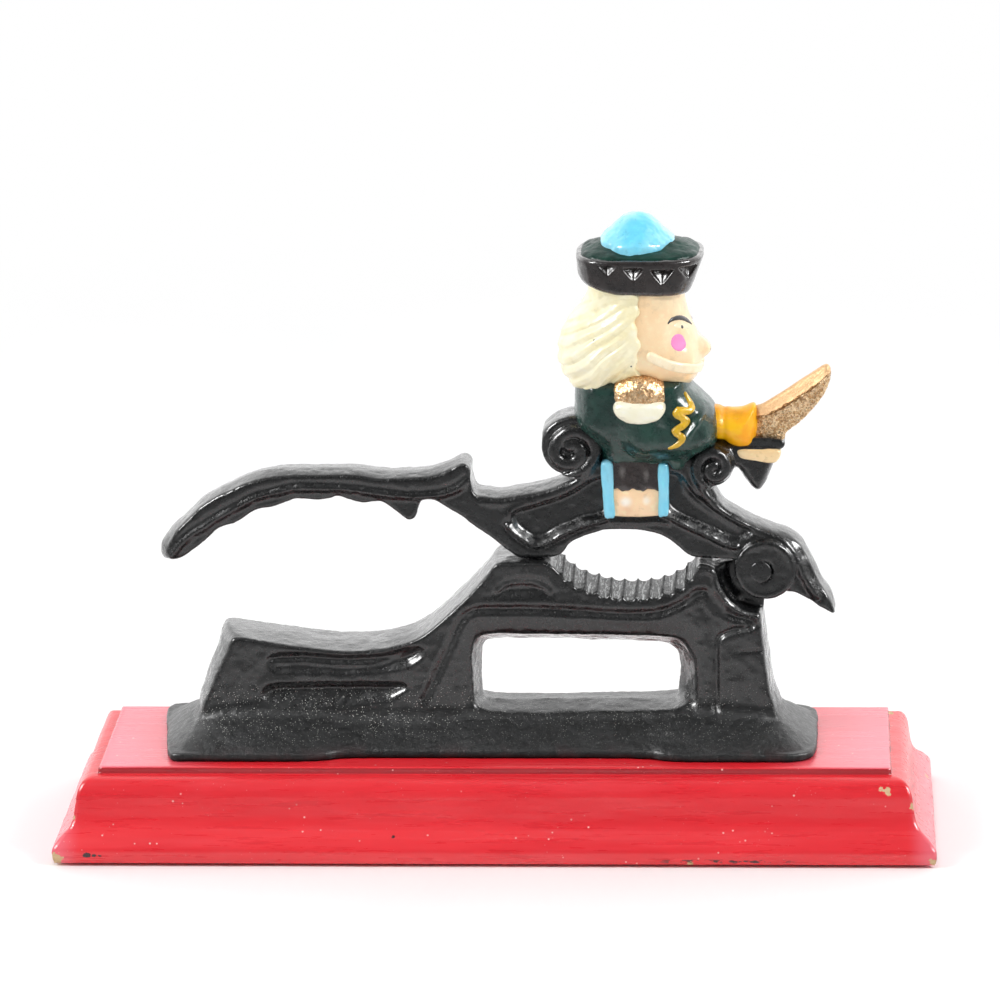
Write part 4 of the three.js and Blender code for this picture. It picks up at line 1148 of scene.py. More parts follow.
def build_lever():
    grid = Grid((-101.5, -9.3, 65.0), (103.0, 9.3, 129.5), 0.42)
    x, z, lift = grid.flat_x, grid.flat_z, grid.lift
    depth = np.abs(grid.y)
    face = grid.region([p[:2] for p in LEVER_OUTLINE], 1.0)
    middle = grid.region(swell(LEVER_OUTLINE, 0.85), 1.0)
    relief = np.zeros_like(x)
    handle_relief(grid, relief)
    edge = arm_relief(grid, relief)
    t = np.clip(depth / LEVER_HALF, 0, 1.15) ** 1.5
    body = lift(middle) * (1 - t) + lift(face) * t
    rounding = 1.1 + 2.3 * ease(3.2, 0.8, edge) * ease(59.0, 62.0, x)
    field = smax(body, depth - LEVER_HALF - lift(relief), lift(rounding))
    field = add_scrolls(grid, field, depth)

    # Round ears with a rim and a sunk ring round the pin.
    radius, angle = grid.radius(PIVOT), grid.angle(PIVOT)
    ear = grid.radius(EAR) - 9.05
    ring_depth = 0.14 + 0.32 * np.clip((x - PIVOT[0]) / 3.3, -0.25, 1)
    rim = 0.25 * bell(ear + 1.2, 0.6) - ring_depth * bell(radius - 3.5, 0.42)
    field = smin(field, smax(lift(ear), depth - 8.2 - lift(rim), 0.8), 0.5)

    # Slot between the ears, and the pin's bore.
    slot = np.where((angle > 170) & (angle < 345), radius - 12.6, radius - 9.2)
    field = smax(field, -smax(lift(slot), depth - 4.3, 0.3), 0.3)
    bore = np.hypot(x - PIVOT[0] - 0.10, z - PIVOT[1]) - 3.30
    field = smax(field, -smax(lift(bore), depth - 7.7, 0.2), 0.2)
    cast("lever_bar", field, grid, "iron_lever",
         rough=(0.13, 3.3, 0.06, 1.2), seed=11)


# =====================================================================
# Figure
# =====================================================================
FACE = Sheet([
    (37, 196), (36, 168), (31, 156), (27, 148), (28, 140), (32, 137), (42.4, 137), (50.3, 136),
    (55.5, 135.8), (58.2, 136.6), (60.3, 138.8), (61.3, 141.2), (61.9, 143.8), (61.8, 147.2),
    (60.9, 150.6), (59.2, 154.6), (57.4, 160), (56.6, 168), (56, 196)])
HAIR = Sheet([
    (29.4, 196), (28.6, 168), (28, 163), (24.8, 158.2), (21.9, 154), (20, 148.6), (20.4, 142.2),
    (23.6, 136.8), (27.4, 133.6), (33, 133.9), (39, 136.2), (50, 137), (60, 148), (60, 168),
    (60, 196)])
JACKET = Sheet([
    (25.3, 138), (24.5, 134), (24.3, 129.8), (24.4, 125.6), (26.4, 122), (29.2, 119),
    (31.2, 116), (31.8, 110), (34, 104), (48.2, 102), (56.6, 104), (58.6, 112.8), (61.2, 117.4),
    (65, 118.6), (66.6, 121.6), (66.5, 126), (65.4, 129.4), (62.4, 133), (58.8, 136.6),
    (56, 142), (30, 142)])
CUFF = Sheet([
    (58, 129), (64.9, 129.5), (68.3, 129), (70.9, 128.6), (73.9, 128.9), (77.2, 129.9),
    (78, 126.2), (77.9, 122.2), (76.6, 118), (72.9, 116.6), (70, 117.4), (67.5, 118.9),
    (64, 119.6), (58, 119.8)])
SHOULDER_PAD = Sheet([
    (36, 131.6), (36.8, 133.7), (39.6, 134.6), (45, 134.6), (50, 133.9), (51.4, 131.8),
    (49.8, 129.2), (46.3, 128), (42, 127.8), (38.2, 129)])
EPAULETTE = Sheet([
    (35.4, 134.4), (36, 137.6), (38.4, 139.6), (42.2, 141.4), (46, 140.6), (49.4, 139),
    (52, 137.8), (52.2, 135.6), (51.4, 133.2), (37.6, 133)])
SABRE = Sheet([
    (76.9, 118.4), (77, 123.4), (77.2, 128.7), (79.5, 129.8), (85.1, 133.3), (90.4, 136.9),
    (94.5, 139.6), (97.2, 141.4), (98.6, 141.6), (99.4, 139.9), (99.1, 136.9), (97.5, 132.9),
    (94.7, 129), (90.4, 124.4), (86.3, 121.1), (85.4, 118.7), (81, 118.3)], cell=0.25)
SABRE_LINE = [
    (74, 125.2), (78.3, 126.3), (82.7, 127.9), (87.9, 131.1), (93.5, 134.9), (98, 138.6),
    (100.5, 142)]
SABRE_RIDGE = Sheet(SABRE_LINE, cell=0.25, closed=False)
SABRE_ABOVE = Sheet(SABRE_LINE + [(100, 150), (74, 150)], cell=0.25)
GUARD_BAND = Sheet([
    (71.9, 117), (76.1, 117.3), (84.4, 116.7), (83.1, 112.9), (77.8, 113.2), (73.2, 114),
    (71.8, 115.5)], cell=0.25)
COLLAR = Sheet([(75.4, 120.2), (85.2, 119.6), (84.5, 116.6), (76, 116.9)], cell=0.25)
STRIPE_LEFT = Sheet([
    (32.1, 113), (33.2, 114.6), (34.8, 114.6), (35.7, 113.2), (35.8, 105), (36.1, 98),
    (34.5, 97.3), (33, 97.7), (32.5, 105)], cell=0.25)
STRIPE_RIGHT = Sheet([
    (48.8, 112.7), (49.7, 114.1), (51.2, 114), (52, 112.4), (51.9, 105), (51.8, 98.4),
    (50.4, 97.9), (48.8, 98.1), (48.9, 105)], cell=0.25)
LEG = Sheet([(35.2, 116.6), (49.6, 116.6), (49.6, 97.9), (42.4, 97.5), (35.2, 97.7)],
            cell=0.25, curved=False)
# Pointed notches in the hat band: centre x, half width, top z, bottom z.
HAT_NOTCHES = (
    (34.9, 2.75, 174.9, 172.0), (42.5, 3.0, 174.1, 170.3), (50.7, 3.3, 173.6, 169.0),
    (58.1, 2.6, 174.0, 170.1),
)
# Pompom profile: heights and radii.
POM_Z = [175.5, 178.5, 179.9, 181.5, 183.0, 184.2, 186.2, 187.2, 187.9]
POM_RADIUS = [11.3, 11.2, 10.9, 9.5, 7.7, 6.6, 4.4, 2.8, 0.0]


def face_field(x, y, z):
    head = pillow(FACE(x, z), y, edge=12.0, half=13.8)
    nose = ellipsoid(x, y, z, (60.6, 0, 147.4), (4.0, 3.9, 3.0), tilt=-0.35)
    head = smin(head, nose, 1.7)
    for side in (-1, 1):
        cheek = ellipsoid(x, y, z, (54.0, side * 8.0, 146.4), (5.0, 3.6, 4.4))
        head = smin(head, cheek, 2.6)
    return head


def hair_waves(x, y, z):
    """Combed locks: ridges fanning about a point above and in front of the face."""
    angle = np.arctan2(z - 176.0, x - 74.0)
    radius = np.hypot(x - 74.0, z - 176.0)
    across = (angle * 52.0 + 0.9 * np.sin(radius * 0.21) + 0.16 * np.abs(y)
              + 0.5 * np.sin(radius * 0.43 + np.abs(y) * 0.35))
    lock = np.abs(np.mod(across / 3.5, 1.0) - 0.5) * 2
    strand = np.abs(np.mod(across / 1.37 + 0.3 + 0.2 * np.sin(radius * 0.3), 1.0) - 0.5) * 2
    fade = ((1 - 0.55 * np.clip((z - 158.0) / 6.0, 0, 1))
            * (0.25 + 0.75 * ease(43.6, 37.0, x)))
    return (-0.62 * (1 - lock ** 1.7) - 0.20 * (1 - strand)) * fade + 0.35


def hair_field(x, y, z):
    half = 15.2 - 0.9 * np.clip((z - 154) / 11.0, 0, 1)
    hair = pillow(HAIR(x, z), y, 13.0, half) + hair_waves(x, y, z)
    edge = (43.6 + 0.55 * np.sin(z * 0.55) + 0.35 * np.sin(z * 1.3)
            - 2.6 * np.clip((141.5 - z) / 5.0, 0, 2) ** 1.3)
    return smax(hair, x - edge, 1.4)


def arm_field(x, y, z):
    y = np.abs(y)
    arm = capsule(x, y, z, (43.4, 9.6, 132.5), (45.4, 10.0, 123.2), 5.2)
    arm = smin(arm, capsule(x, y, z, (46.0, 9.6, 122.6), (58.0, 6.8, 121.6), 5.0), 2.5)
    return smin(arm, capsule(x, y, z, (58.0, 6.6, 122.0), (61.5, 3.5, 122.8), 5.2), 2.0)


def jacket_field(x, y, z):
    jacket = pillow(JACKET(x, z), y, 7.0, 9.2 + 3.4 * ease(113, 127, z))
    jacket = smin(jacket, arm_field(x, y, z), 3.6)
    jacket = smax(jacket, z - 139.5, 2.0)
    jacket = smax(jacket, x - 66.3, 1.2)
    hem = 113.9 + 0.2 * np.sin(x * 0.5) - 2.6 * ease(51.6, 54.0, x)
    jacket = smax(jacket, hem - z, 1.3)
    # A raised fold and a crease beside it, slanting across the sleeves.
    for height, fold_x in ((-0.55, 60.3), (0.30, 57.6)):
        jacket = jacket + (height * bell(x - fold_x - 0.72 * (z - 126.8), 0.9)
                           * ease(121.5, 123.5, z) * ease(131.0, 129.0, z))
    return jacket


def hat_field(x, y, z):
    flare = np.clip((z - 164.0) / 11.0, 0, 1.2) ** 0.8
    axis = 42.6 + 1.4 * np.clip((z - 164.0) / 12.0, 0, 1.1)
    hat = squircle(x - axis, y, 15.4 + 3.1 * flare, 14.5 + 0.9 * flare, 3.2) * 0.96
    for centre, half, top, bottom in HAT_NOTCHES:
        width = half * (1 - np.clip((top - z) / (top - bottom), 0, 1))
        off = np.abs(x - centre)
        within = (ease(0.25, -0.35, off - width) * ease(top + 0.35, top - 0.25, z)
                  * (z > bottom - 0.3) * ease(8.0, 10.0, np.abs(y)))
        hat = hat + within * (0.12 + np.clip(0.62 * (z - bottom) - 0.56 * off, 0.0, 2.6))
    brim = (165.4 + 0.3 * np.clip(np.abs(y) / 14.5, 0, 1.2) ** 2
            + 2.2 * np.clip((38.0 - x) / 10.0, 0, 1.2) ** 1.5 - 0.04 * (x - 44.0))
    hat = smax(hat, brim - z, 1.8)
    return smax(hat, z - 176.4, 1.3)


def hat_top_field(x, y, z):
    x = x - 44.0
    dome = 176.1 + (4.5 * np.clip(1 - (np.abs(x) / 18.3) ** 3, 0, 1)
                    * np.clip(1 - (np.abs(y) / 15.0) ** 1.6, 0, 1))
    top = smax(squircle(x, y, 17.3, 14.1, 3.2), (z - dome) * 0.9, 0.9)
    return smax(top, 174.9 - z, 0.4)


def pompom_field(x, y, z):
    x = x - 43.1
    angle = np.arctan2(y, x)
    wobble = 1 + 0.020 * np.sin(3 * angle + 0.6) + 0.014 * np.sin(7 * angle + 2.0)
    pom = (np.hypot(x, y / 1.06) - np.interp(z, POM_Z, POM_RADIUS) * wobble) * 0.74
    pom = smax(pom, z - 187.75, 1.2)
    return smax(pom, 176.0 - z, 0.4)


def epaulette_field(x, y, z):
    y = np.abs(y)
    ball = ellipsoid(x, y, z, (43.8, 9.4, 135.6), (8.6, 6.2, 6.3))
    return smax(ball, EPAULETTE(x, z + 0.26 * (y - 12.0)) - 0.6, 1.4)


def shoulder_pad_field(x, y, z):
    y = np.abs(y)
    ball = ellipsoid(x, y, z, (43.8, 11.6, 131.2), (10.5, 4.9, 6.6))
    pad = smax(ball, SHOULDER_PAD(x, z + 0.26 * (y - 14.0)), 1.6)
    return smax(pad, 9.5 - y, 0.3)


def cuff_field(x, y, z):
    return pillow(CUFF(x, z), y, edge=6.0, half=6.7) + 0.30 * bell(x - 68.2, 0.8)


def blade_field(x, y, z):
    outline, ridge = SABRE(x, z), SABRE_RIDGE(x, z)
    half = 1.15 + 2.1 * np.clip(-outline / (np.maximum(-outline, 0) + ridge + 0.4), 0, 1)
    half = half + 0.30 * bell(ridge, 0.5)
    return smax(outline, np.abs(y) - half, 0.9)


def crease_field(x, y, z):
    """Thin wavy strip along the sabre's ridge."""
    strip = SABRE_RIDGE(x, z) - 0.42 - 0.18 * np.sin(x * 1.7)
    return smax(smax(blade_field(x, y, z) - 0.06, strip, 0.15), x - 96.5, 0.4)


def leg_field(x, y, z):
    half = (8.4 + 0.40 * bell(x - 42.2, 4.0)
            + 1.30 * spot(x, z, (39.6, 101.8), (2.7, 2.5))
            + 1.0 * spot(x, z, (45.6, 101.6), (2.2, 2.5)))
    half = half + (0.45 * bell(x - 38.6, 1.6) + 0.45 * bell(x - 45.6, 1.8)) * ease(105, 108, z)
    return smax(LEG(x, z), np.abs(y) - half, 0.9)


def leg_hem(x):
    """Height of the wavy line between the dark and bare parts of the leg."""
    return 105.9 + 0.35 * np.sin(x * 1.25) + 0.18 * np.sin(x * 2.9 + 1)


def build_head():
    piece("face", face_field, (28, -15.5, 133), (66, 15.5, 167.5), cell=0.38,
          material="skin", rough=(0.07, 3.0, 0.02, 1.0), seed=21)
    piece("hair", hair_field, (18, -17.5, 132), (46, 17.5, 167.5), cell=0.34,
          material="hair", rough=(0.12, 2.2, 0.05, 0.8), seed=22)
    piece("jacket", jacket_field, (22.5, -17, 111.5), (69.5, 17, 141), cell=0.38,
          material="green", rough=(0.14, 3.2, 0.05, 1.1), seed=23)
    piece("hat_band", hat_field, (23, -17.5, 163), (65, 17.5, 178), cell=0.34,
          material="hat", rough=(0.09, 2.6, 0.04, 0.9), seed=24)
    piece("hat_top", hat_top_field, (25, -16.5, 174), (63, 16.5, 182), cell=0.36,
          material="green_top", rough=(0.20, 2.4, 0.06, 0.9), seed=25)
    piece("pompom", pompom_field, (30.2, -13.6, 175), (56.2, 13.6, 188.4), cell=0.34,
          material="pom", rough=(0.28, 3.2, 0.12, 1.3), seed=26)


def build_arms():
    piece("epaulette", epaulette_field, (33, -17.5, 128), (55, 17.5, 143), cell=0.36,
          material="gold_soft", rough=(0.20, 2.2, 0.13, 0.75), seed=27)
    piece("shoulder_pad", shoulder_pad_field, (34, -18, 125), (54, 18, 137.5), cell=0.34,
          material="pad_cream", rough=(0.10, 2.4, 0.05, 1.0), seed=28)
    piece("cuff", cuff_field, (63.5, -8.2, 115), (79.5, 8.2, 131.5), cell=0.32,
          material="cuff", rough=(0.12, 3.0, 0.03, 1.0), seed=29)


def build_sabre():
    piece("sabre_upper", lambda x, y, z: smax(blade_field(x, y, z), SABRE_ABOVE(x, z), 0.12),
          (75.5, -4.6, 122), (101.5, 4.6, 143.5), cell=0.30,
          material="gold_smooth", rough=(0.05, 2.0, 0.03, 0.9), seed=31)
    piece("sabre_lower", lambda x, y, z: smax(blade_field(x, y, z), -SABRE_ABOVE(x, z), 0.12),
          (75.5, -4.6, 117), (101.5, 4.6, 143.5), cell=0.30,
          material="gold", rough=(0.14, 1.1, 0.10, 0.6), seed=32)
    piece("sabre_crease", crease_field, (76.5, -4.8, 124), (98.5, 4.8, 140.5), cell=0.28,
          material="gold_dark", rough=(0.10, 1.0, 0.08, 0.6), seed=38)
    piece("guard_band", lambda x, y, z: smax(GUARD_BAND(x, z), np.abs(y) - 4.75, 1.2),
          (69.5, -5.8, 111), (86.5, 5.8, 119.2), cell=0.30,
          material="band_cream", rough=(0.07, 2.2, 0.02, 0.9), seed=33)
    piece("sabre_collar", lambda x, y, z: smax(COLLAR(x, z), np.abs(y) - 3.7, 0.8),
          (73, -5.2, 115), (87.5, 5.2, 122), cell=0.30,
          material="gloss_black", rough=(0.06, 2.2, 0.03, 0.9), seed=34)


def build_legs():
    """Stripes standing proud of the dark and bare parts."""
    for name, stripe, x_low, x_high in (("stripe_left", STRIPE_LEFT, 31, 37.5),
                                        ("stripe_right", STRIPE_RIGHT, 47.5, 53.5)):
        def stripe_field(x, y, z):
            edge = np.clip(-stripe(x, z) - 0.6, -1.5, 0)
            return smax(stripe(x, z), np.abs(y) - 9.5 + 0.22 * edge ** 2, 1.1)
        piece(name, stripe_field, (x_low, -10.8, 95.2), (x_high, 10.8, 116.6), cell=0.32,
              material="blue", rough=(0.10, 2.0, 0.03, 0.9), seed=35)
    piece("leg_dark", lambda x, y, z: smax(leg_field(x, y, z) - 0.12, leg_hem(x) - z, 0.25),
          (34.4, -10.4, 104), (50.4, 10.4, 116), cell=0.32,
          material="legdark", rough=(0.09, 2.4, 0.04, 0.9), seed=36)
    piece("leg_bare", lambda x, y, z: smax(leg_field(x, y, z), z - leg_hem(x) - 0.2, 0.25),
          (34.4, -10.4, 95), (50.4, 10.4, 107.5), cell=0.32,
          material="knee", rough=(0.08, 2.6, 0.02, 0.9), seed=37)


def onto(points, surface):
    """Where the camera's line of sight through each (x, z) at y = 0 first meets a field."""
    depths = np.linspace(-26.0, 6.0, 640)[:, None]
    out = []
    for x, z in points:
        base = np.array([x, 0.0, z])
        sight = base - EYE
        ray = base + sight / abs(sight[1]) * depths
        value = surface(*ray.T)
        hit = np.argmax(value < 0) if (value < 0).any() else np.argmin(value)
        out.append(ray[hit])
    return np.array(out)


def paint_line(name, points, surface, material, radius, lift, cell=0.28,
               rough=(0.05, 1.4, 0.0, 1.0), taper=0.0):
    """A line or spot of paint standing proud of a surface by lift, on front and back."""
    path = onto(points, surface)
    if len(path) > 1:
        path = spline(path, rounding=math.floor)
    for suffix, side in (("_front", 1), ("_back", -1)):
        line = path * np.array([1, side, 1])
        margin = radius + 1.2
        grid = Grid(line.min(0) - margin, line.max(0) + margin, cell)
        coords = grid.full()
        if len(line) > 1:
            distance, fraction = nearest_on_line(line, *coords)
            if taper:
                distance = distance + taper * (2 * np.abs(fraction - 0.5)) ** 3
        else:
            distance = np.sqrt(sum((c - p) ** 2 for c, p in zip(coords, line[0])))
        under = surface(*coords)
        field = smax(distance - radius, under - lift, 0.35)
        field = smax(field, -under - 1.2, 0.2)
        cast(name + suffix, field.astype(np.float32), grid, material, rough, seed=17)


def build_paint_lines():
    paint_line("eyebrow", [(51.9, 154.0), (52.6, 154.9), (53.9, 155.6), (55.6, 155.8),
                           (57.3, 155.2), (58.8, 153.9)],
               face_field, "feature", radius=0.80, lift=0.22, taper=0.45)
    paint_line("eye_white", [(53.9, 153.3), (55.6, 153.6), (57.6, 153.0)],
               face_field, "lightskin", radius=1.15, lift=0.10, taper=0.5)
    paint_line("eye", [(56.0, 153.05)],
               face_field, "feature", radius=0.62, lift=0.26, cell=0.2)
    paint_line("cheek", [(55.0, 148.3)],
               face_field, "cheek", radius=2.65, lift=0.14)
    paint_line("moustache", [(47.0, 143.9), (49.6, 142.6), (52.7, 141.3), (56.6, 140.6),
                             (60.0, 140.6), (61.2, 141.2)],
               face_field, "lightskin", radius=1.55, lift=0.85,
               rough=(0.10, 1.8, 0.03, 0.8))
    paint_line("braid", [(56.7, 132.9), (57.8, 130.9), (58.7, 128.7), (57.5, 127.5),
                         (54.9, 127.8), (54.0, 126.8), (55.9, 125.4), (57.1, 124.5),
                         (55.9, 123.0), (53.7, 121.4), (54.8, 120.2), (56.0, 119.3),
                         (55.0, 117.8), (53.4, 116.7), (52.0, 116.2)],
               jacket_field, "squiggle", radius=1.12, lift=0.60, taper=0.5,
               rough=(0.12, 1.5, 0.05, 0.8))


# =====================================================================
# Plinth, fasteners, pin and pads
# =====================================================================

# Plinth moulding from the bottom up: (inset from the foot, z).
MOULDING = [
    (0.6, 1.0), (0.15, 1.6), (0.0, 2.6), (0.0, 4.4), (0.25, 5.4), (0.8, 6.3), (1.5, 7.2),
    (2.4, 8.2), (3.5, 9.1), (4.6, 10.0), (5.3, 11.0), (5.8, 12.1), (6.2, 13.7), (6.5, 15.4),
    (6.8, 17.4), (7.1, 19.5), (7.5, 21.1), (8.2, 22.5), (8.9, 23.4), (9.8, 24.0),
    (11.2, 24.35), (12.7, 24.5), (13.0, 24.62), (13.08, 25.0), (13.12, 25.8), (13.2, 26.2),
    (13.45, 26.5), (13.9, PLINTH_TOP),
]
PLINTH_CELLS = (190, 62)        # divisions along x and y


def band_quads(lower, upper, count):
    """Quads between two closed rows of vertices, given their first indices."""
    i = np.arange(count)
    j = (i + 1) % count
    return np.stack([lower + i, lower + j, upper + j, upper + i], -1)


def sheet_quads(ring, first_ring, first_extra, across, along, inset, z):
    """Fill a ring with a level sheet; returns the added vertices and the quads."""
    nx, ny = PLINTH_CELLS
    index = {(int(round((u + 1) / 2 * nx)), int(round((v + 1) / 2 * ny))): first_ring + i
             for i, (u, v) in enumerate(ring)}
    extra = []
    for a in range(nx + 1):
        for b in range(ny + 1):
            if (a, b) not in index:
                index[(a, b)] = first_extra + len(extra)
                extra.append((across[a] * (PLINTH_HALF[0] - inset),
                              along[b] * (PLINTH_HALF[1] - inset), z))
    quads = [(index[(a, b)], index[(a + 1, b)], index[(a + 1, b + 1)], index[(a, b + 1)])
             for a in range(nx) for b in range(ny)]
    return np.array(extra), np.array(quads)


def build_plinth():
    """Moulding swept round the block with mitred corners, then the top and bottom."""
    stations = np.array(MOULDING)
    profile = [stations[0]]
    for a, b in zip(stations[:-1], stations[1:]):
        steps = max(1, int(math.ceil(np.linalg.norm(b - a) / 0.55)))
        profile += [a + (b - a) * k / steps for k in range(1, steps + 1)]
    across, along = (np.linspace(-1, 1, n + 1) for n in PLINTH_CELLS)
    ring = np.array([(u, -1.0) for u in across[:-1]] + [(1.0, v) for v in along[:-1]]
                    + [(-u, 1.0) for u in across[:-1]] + [(-1.0, -v) for v in along[:-1]])
    count = len(ring)
    verts = np.vstack([
        np.column_stack([ring * (np.array(PLINTH_HALF) - inset), np.full(count, z)])
        for inset, z in profile])
    last = len(profile) - 1
    quads = [band_quads(k * count, (k + 1) * count, count) for k in range(last)]
    for row, order in ((last, 1), (0, -1)):
        extra, sheet = sheet_quads(ring, row * count, len(verts), across, along, *profile[row])
        verts = np.vstack([verts, extra])
        quads.append(sheet[:, ::order])
    quads = np.vstack(quads)

    # Sanding waves along x and the knocks; the underside stays flat and the top level.
    normals = vert_normals(verts, quads)
    push = (0.09 * value_noise(verts * np.array([0.25, 1, 1]), 5.0, 51)
            + 0.035 * value_noise(verts * np.array([0.2, 1.0, 1.0]), 1.3, 52))
    for x, y, z, radius in CHIPS:
        squared = np.sum((verts - np.array([x, y, z])) ** 2, 1)
        push = push - 0.30 * radius * np.exp(-squared / (radius * radius))
    push = np.where(verts[:, 2] < 1.3, 0.0, push)
    push = np.where(verts[:, 2] > 26.45, np.minimum(push * 0.5, 0.0) - 0.01, push)
    add_part("plinth_block", verts + normals * push[:, None], quads,
             "plinth_red", "base", "plinth")


def lathe(profile, closed):
    """Turn (radius, z) points round z; a closed profile makes a ring."""
    segments = 96
    angles = np.linspace(0, 2 * math.pi, segments, endpoint=False)
    verts = np.array([(r * math.cos(a), r * math.sin(a), z) for r, z in profile for a in angles])
    rows = len(profile)
    quads = [band_quads(k * segments, (k + 1) % rows * segments, segments)
             for k in range(rows if closed else rows - 1)]
    return verts, np.vstack(quads)


WASHER_PROFILE = [
    (2.78, 9.12), (2.70, 9.25), (2.70, 9.85), (2.82, 9.97), (3.6, 10.0), (5.6, 9.98),
    (5.92, 9.88), (6.0, 9.6), (6.0, 9.3), (5.93, 9.08), (5.7, 9.0), (4.2, 9.02), (3.0, 9.03),
]
THREAD_PITCH = 0.85


def screw_mesh():
    """Screw on the z axis, head down, with a slot and a helical thread."""
    grid = Grid((-5.4, -5.4, 5.9), (5.4, 5.4, 37.3), 0.22)
    x, y, z = grid.full()
    radius = np.hypot(x, y)
    head = smax(smax(radius - 4.75, 6.05 + 0.08 * (radius / 4.7) ** 2 - z, 0.35),
                z - 8.95, 0.2)
    slot = np.maximum(np.abs(y) - 0.6, z - 7.4)
    head = smax(head, -slot, 0.15)
    turn = z / THREAD_PITCH - np.arctan2(y, x) / (2 * math.pi)
    groove = np.abs(turn - np.round(turn)) * 2
    shank = smax(radius - (2.12 + 0.26 * (1 - groove) * ease(14.0, 15.0, z)),
                 z - (36.4 - 0.35 * radius), 0.25)
    shank = smax(shank, 8.0 - z, 0.1)
    verts, quads = surface_nets(smin(head, shank, 0.3).astype(np.float32), grid)
    return relax(verts, quads, 0.35), quads


def build_screws():
    screw, screw_quads = screw_mesh()
    washer, washer_quads = lathe(WASHER_PROFILE, closed=True)
    washer[:, 2] += 0.02 * np.sin(np.arctan2(washer[:, 1], washer[:, 0]) * 2)
    for name, x in SCREW_X.items():
        place = np.array([x, 0, 0])
        add_part("screw_" + name, screw + place, screw_quads,
                 "zinc", "base", "foot_screw_" + name)
        add_part("washer_" + name, washer + place, washer_quads[:, ::-1],
                 "zinc", "base", "foot_washer_" + name)


def build_pin():
    """Pivot pin with uneven ends, painted like the lever."""
    grid = Grid((-4.4, -9.6, -4.4), (4.4, 9.6, 4.4), 0.22)
    x, y, z = grid.full()
    radius = np.hypot(x, z)
    ends = np.abs(y) - 8.55 - 0.06 * x + 0.04 * z + 0.08 * (radius / 3.2) ** 2
    field = smax(radius - 3.22, ends, 0.35)
    verts, quads = surface_nets(field.astype(np.float32), grid)
    verts = relax(verts, quads, 0.4)
    normals = vert_normals(verts, quads)
    push = 0.05 * value_noise(verts + 50, 1.2, 61) * (np.abs(verts[:, 1]) > 8.3)
    verts = verts + normals * push[:, None] + np.array([PIVOT[0], 0, PIVOT[1]])
    add_part("pivot", verts, quads, "iron_lever", "lever", "pivot_pin")


def build_pads():
    """Felt discs with slightly ragged rims."""
    profile = ([(0.01, 0.0)] + [(r, 0.0) for r in np.linspace(0.8, 7.7, 10)]
               + [(7.95, 0.12), (8.0, 0.5), (7.97, 0.9), (7.8, 1.0)]
               + [(r, 1.0) for r in np.linspace(7.0, 0.8, 9)] + [(0.01, 1.0)])
    for depth_name, side_y in (("front", -1), ("back", 1)):
        for side_name, side_x in (("left", -1), ("right", 1)):
            verts, quads = lathe(profile, closed=False)
            angle = np.arctan2(verts[:, 1], verts[:, 0])
            rim = np.hypot(verts[:, 0], verts[:, 1]) > 7.5
            ragged = 1 + (0.010 * np.sin(angle * 23 + side_x)
                          + 0.008 * np.sin(angle * 41 + side_y) - 0.016) * rim
            verts[:, :2] *= ragged[:, None]
            verts = verts + np.array([PAD_PLACE[0] * side_x, PAD_PLACE[1] * side_y, 0])
            tag = depth_name + "_" + side_name
            add_part("felt_" + tag, verts, quads, "felt", "base", "pad_" + tag)


# =====================================================================
# Stage, light and camera.  Light places and sizes are in metres.
# =====================================================================

# World brightness by direction; each entry is a strength.
WORLD = dict(front=0.155, back=1.00, top=0.10, side=0.29, corner=0.72)
LIGHT_TARGET = (0.0, 0.0, 0.08)
# "fill" lights are hidden from reflections, "gloss" lights from diffuse shading.
LIGHTS = (
    dict(name="box_left", place=(-0.92, -0.48, 0.88), size=(0.42, 0.44), power=7.1),
    dict(name="box_right", place=(0.98, -0.44, 0.84), size=(0.44, 0.42), power=6.7),
    dict(name="overhead", place=(-0.05, -0.30, 1.02), size=(0.16, 0.12), power=1.3,
         kind="fill"),
    dict(name="behind", place=(0.25, 1.15, 0.55), size=(1.2, 0.6), power=1.2),
    dict(name="glint_left", place=(-0.98, -0.50, 0.80), size=(0.40, 0.58), power=12.5,
         kind="gloss"),
    dict(name="glint_right", place=(1.03, -0.46, 0.75), size=(0.42, 0.64), power=14.5,
         kind="gloss"),
)


def build_floor():
    half, cells = 4200, 24
    ticks = np.linspace(-half, half, cells + 1)
    verts = np.array([(x, y, 0.0) for y in ticks for x in ticks])
    row = cells + 1
    corners = [j * row + i for j in range(cells) for i in range(cells)]
    quads = np.array([(k, k + 1, k + row + 1, k + row) for k in corners])
    make_object("floor", verts, quads, "floor")


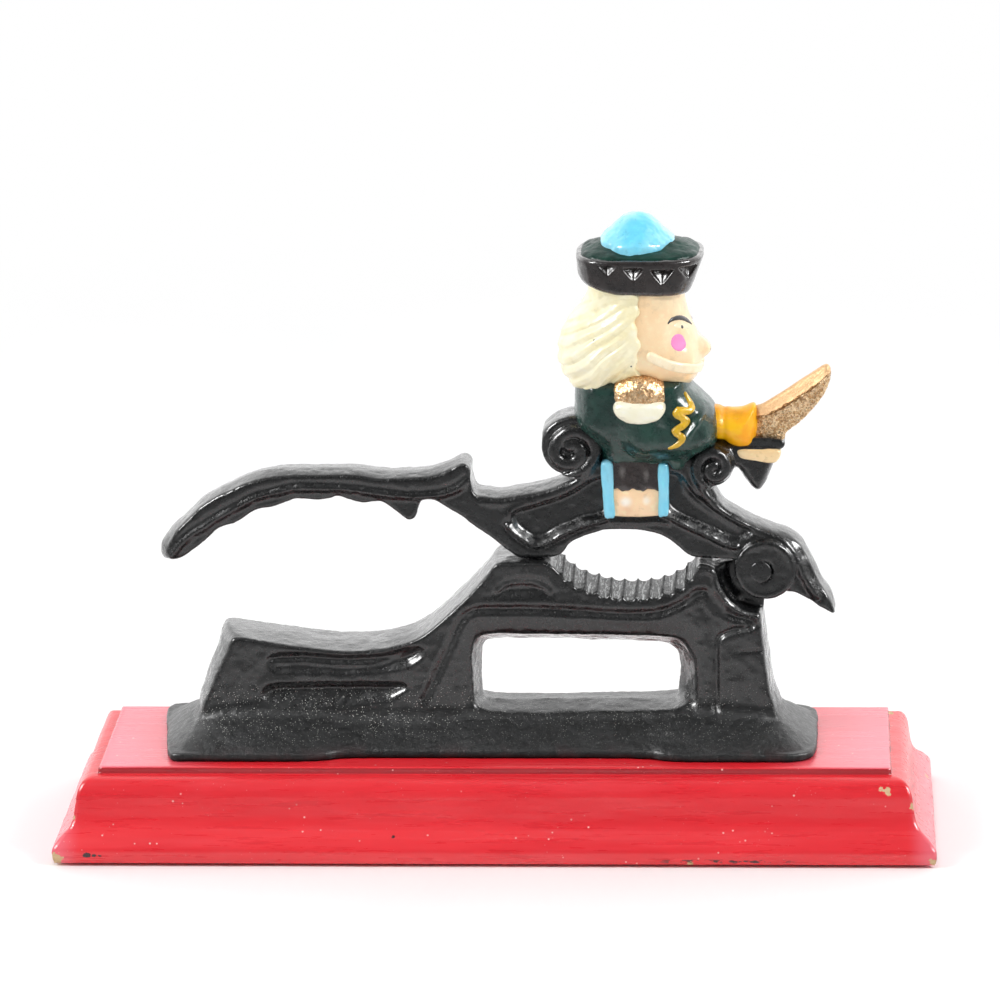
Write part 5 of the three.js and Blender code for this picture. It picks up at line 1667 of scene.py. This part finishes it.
def build_world():
    """White to the camera; to everything else a studio that is brighter at the back."""
    world = bpy.data.worlds.new("studio")
    bpy.context.scene.world = world
    world.use_nodes = True
    graph = Graph(world.node_tree)
    output = graph.node("OutputWorld")
    studio, white = graph.node("Background"), graph.node("Background")
    camera_ray = graph.node("LightPath").outputs["Is Camera Ray"]
    x, y, z = graph.split(graph.node("TexCoord").outputs["Generated"])

    back = graph.span(y, -0.25, 0.75, WORLD["front"], WORLD["back"])
    top = graph.span(z, 0.1, 0.95, 0.0, WORLD["top"])
    off_axis = graph.op("ABSOLUTE", x)
    corner = graph.times(graph.span(off_axis, 0.15, 0.55, 0.0, WORLD["corner"]),
                         graph.span(y, 0.0, 0.6))
    side = graph.op("ADD", graph.span(off_axis, 0.45, 0.95, 0.0, WORLD["side"]), corner)
    strength = graph.op("ADD", graph.op("ADD", back, top), side)
    for background, level in ((studio, strength), (white, 1.0)):
        background.inputs["Color"].default_value = (1, 1, 1, 1)
        graph.put(background.inputs["Strength"], level)
    mixed = graph.mix_shaders(camera_ray, studio.outputs[0], white.outputs[0])
    graph.put(output.inputs[0], mixed)


def add_area_light(name, place, size, power, kind="both"):
    light = bpy.data.lights.new(name, "AREA")
    light.shape = "RECTANGLE"
    light.size, light.size_y = size
    light.energy = power
    obj = bpy.data.objects.new(name, light)
    bpy.context.scene.collection.objects.link(obj)
    obj.location = place
    aim = Vector(LIGHT_TARGET) - Vector(place)
    obj.rotation_mode = "QUATERNION"
    obj.rotation_quaternion = aim.to_track_quat("-Z", "Y")
    obj.visible_camera = False
    obj.visible_diffuse = kind != "gloss"
    obj.visible_glossy = kind != "fill"


def build_camera():
    pitch, yaw, roll = math.radians(16.5), math.radians(3.5524), math.radians(-1.085)
    forward = Vector((-math.sin(yaw) * math.cos(pitch), math.cos(yaw) * math.cos(pitch),
                      -math.sin(pitch)))
    level = Vector((math.cos(yaw), math.sin(yaw), 0))
    upright = level.cross(forward)
    right = level * math.cos(roll) + upright * math.sin(roll)
    up = -level * math.sin(roll) + upright * math.cos(roll)
    camera = bpy.data.cameras.new("camera")
    camera.sensor_width = 36
    camera.lens = 187.78
    camera.clip_start, camera.clip_end = 0.05, 30
    obj = bpy.data.objects.new("camera", camera)
    bpy.context.scene.collection.objects.link(obj)
    rows = [(right[i], up[i], -forward[i], EYE[i] * MM) for i in range(3)]
    obj.matrix_world = Matrix(rows + [(0, 0, 0, 1)])
    bpy.context.scene.camera = obj


view = bpy.context.scene.view_settings
view.view_transform = "Standard"
view.look = "None"
view.exposure = 0.0
view.gamma = 1.0

build_materials()
build_stand()
build_lever()
build_head()
build_arms()
build_sabre()
build_legs()
build_paint_lines()
build_plinth()
build_screws()
build_pin()
build_pads()
build_floor()
build_world()
for settings in LIGHTS:
    add_area_light(**settings)
build_camera()
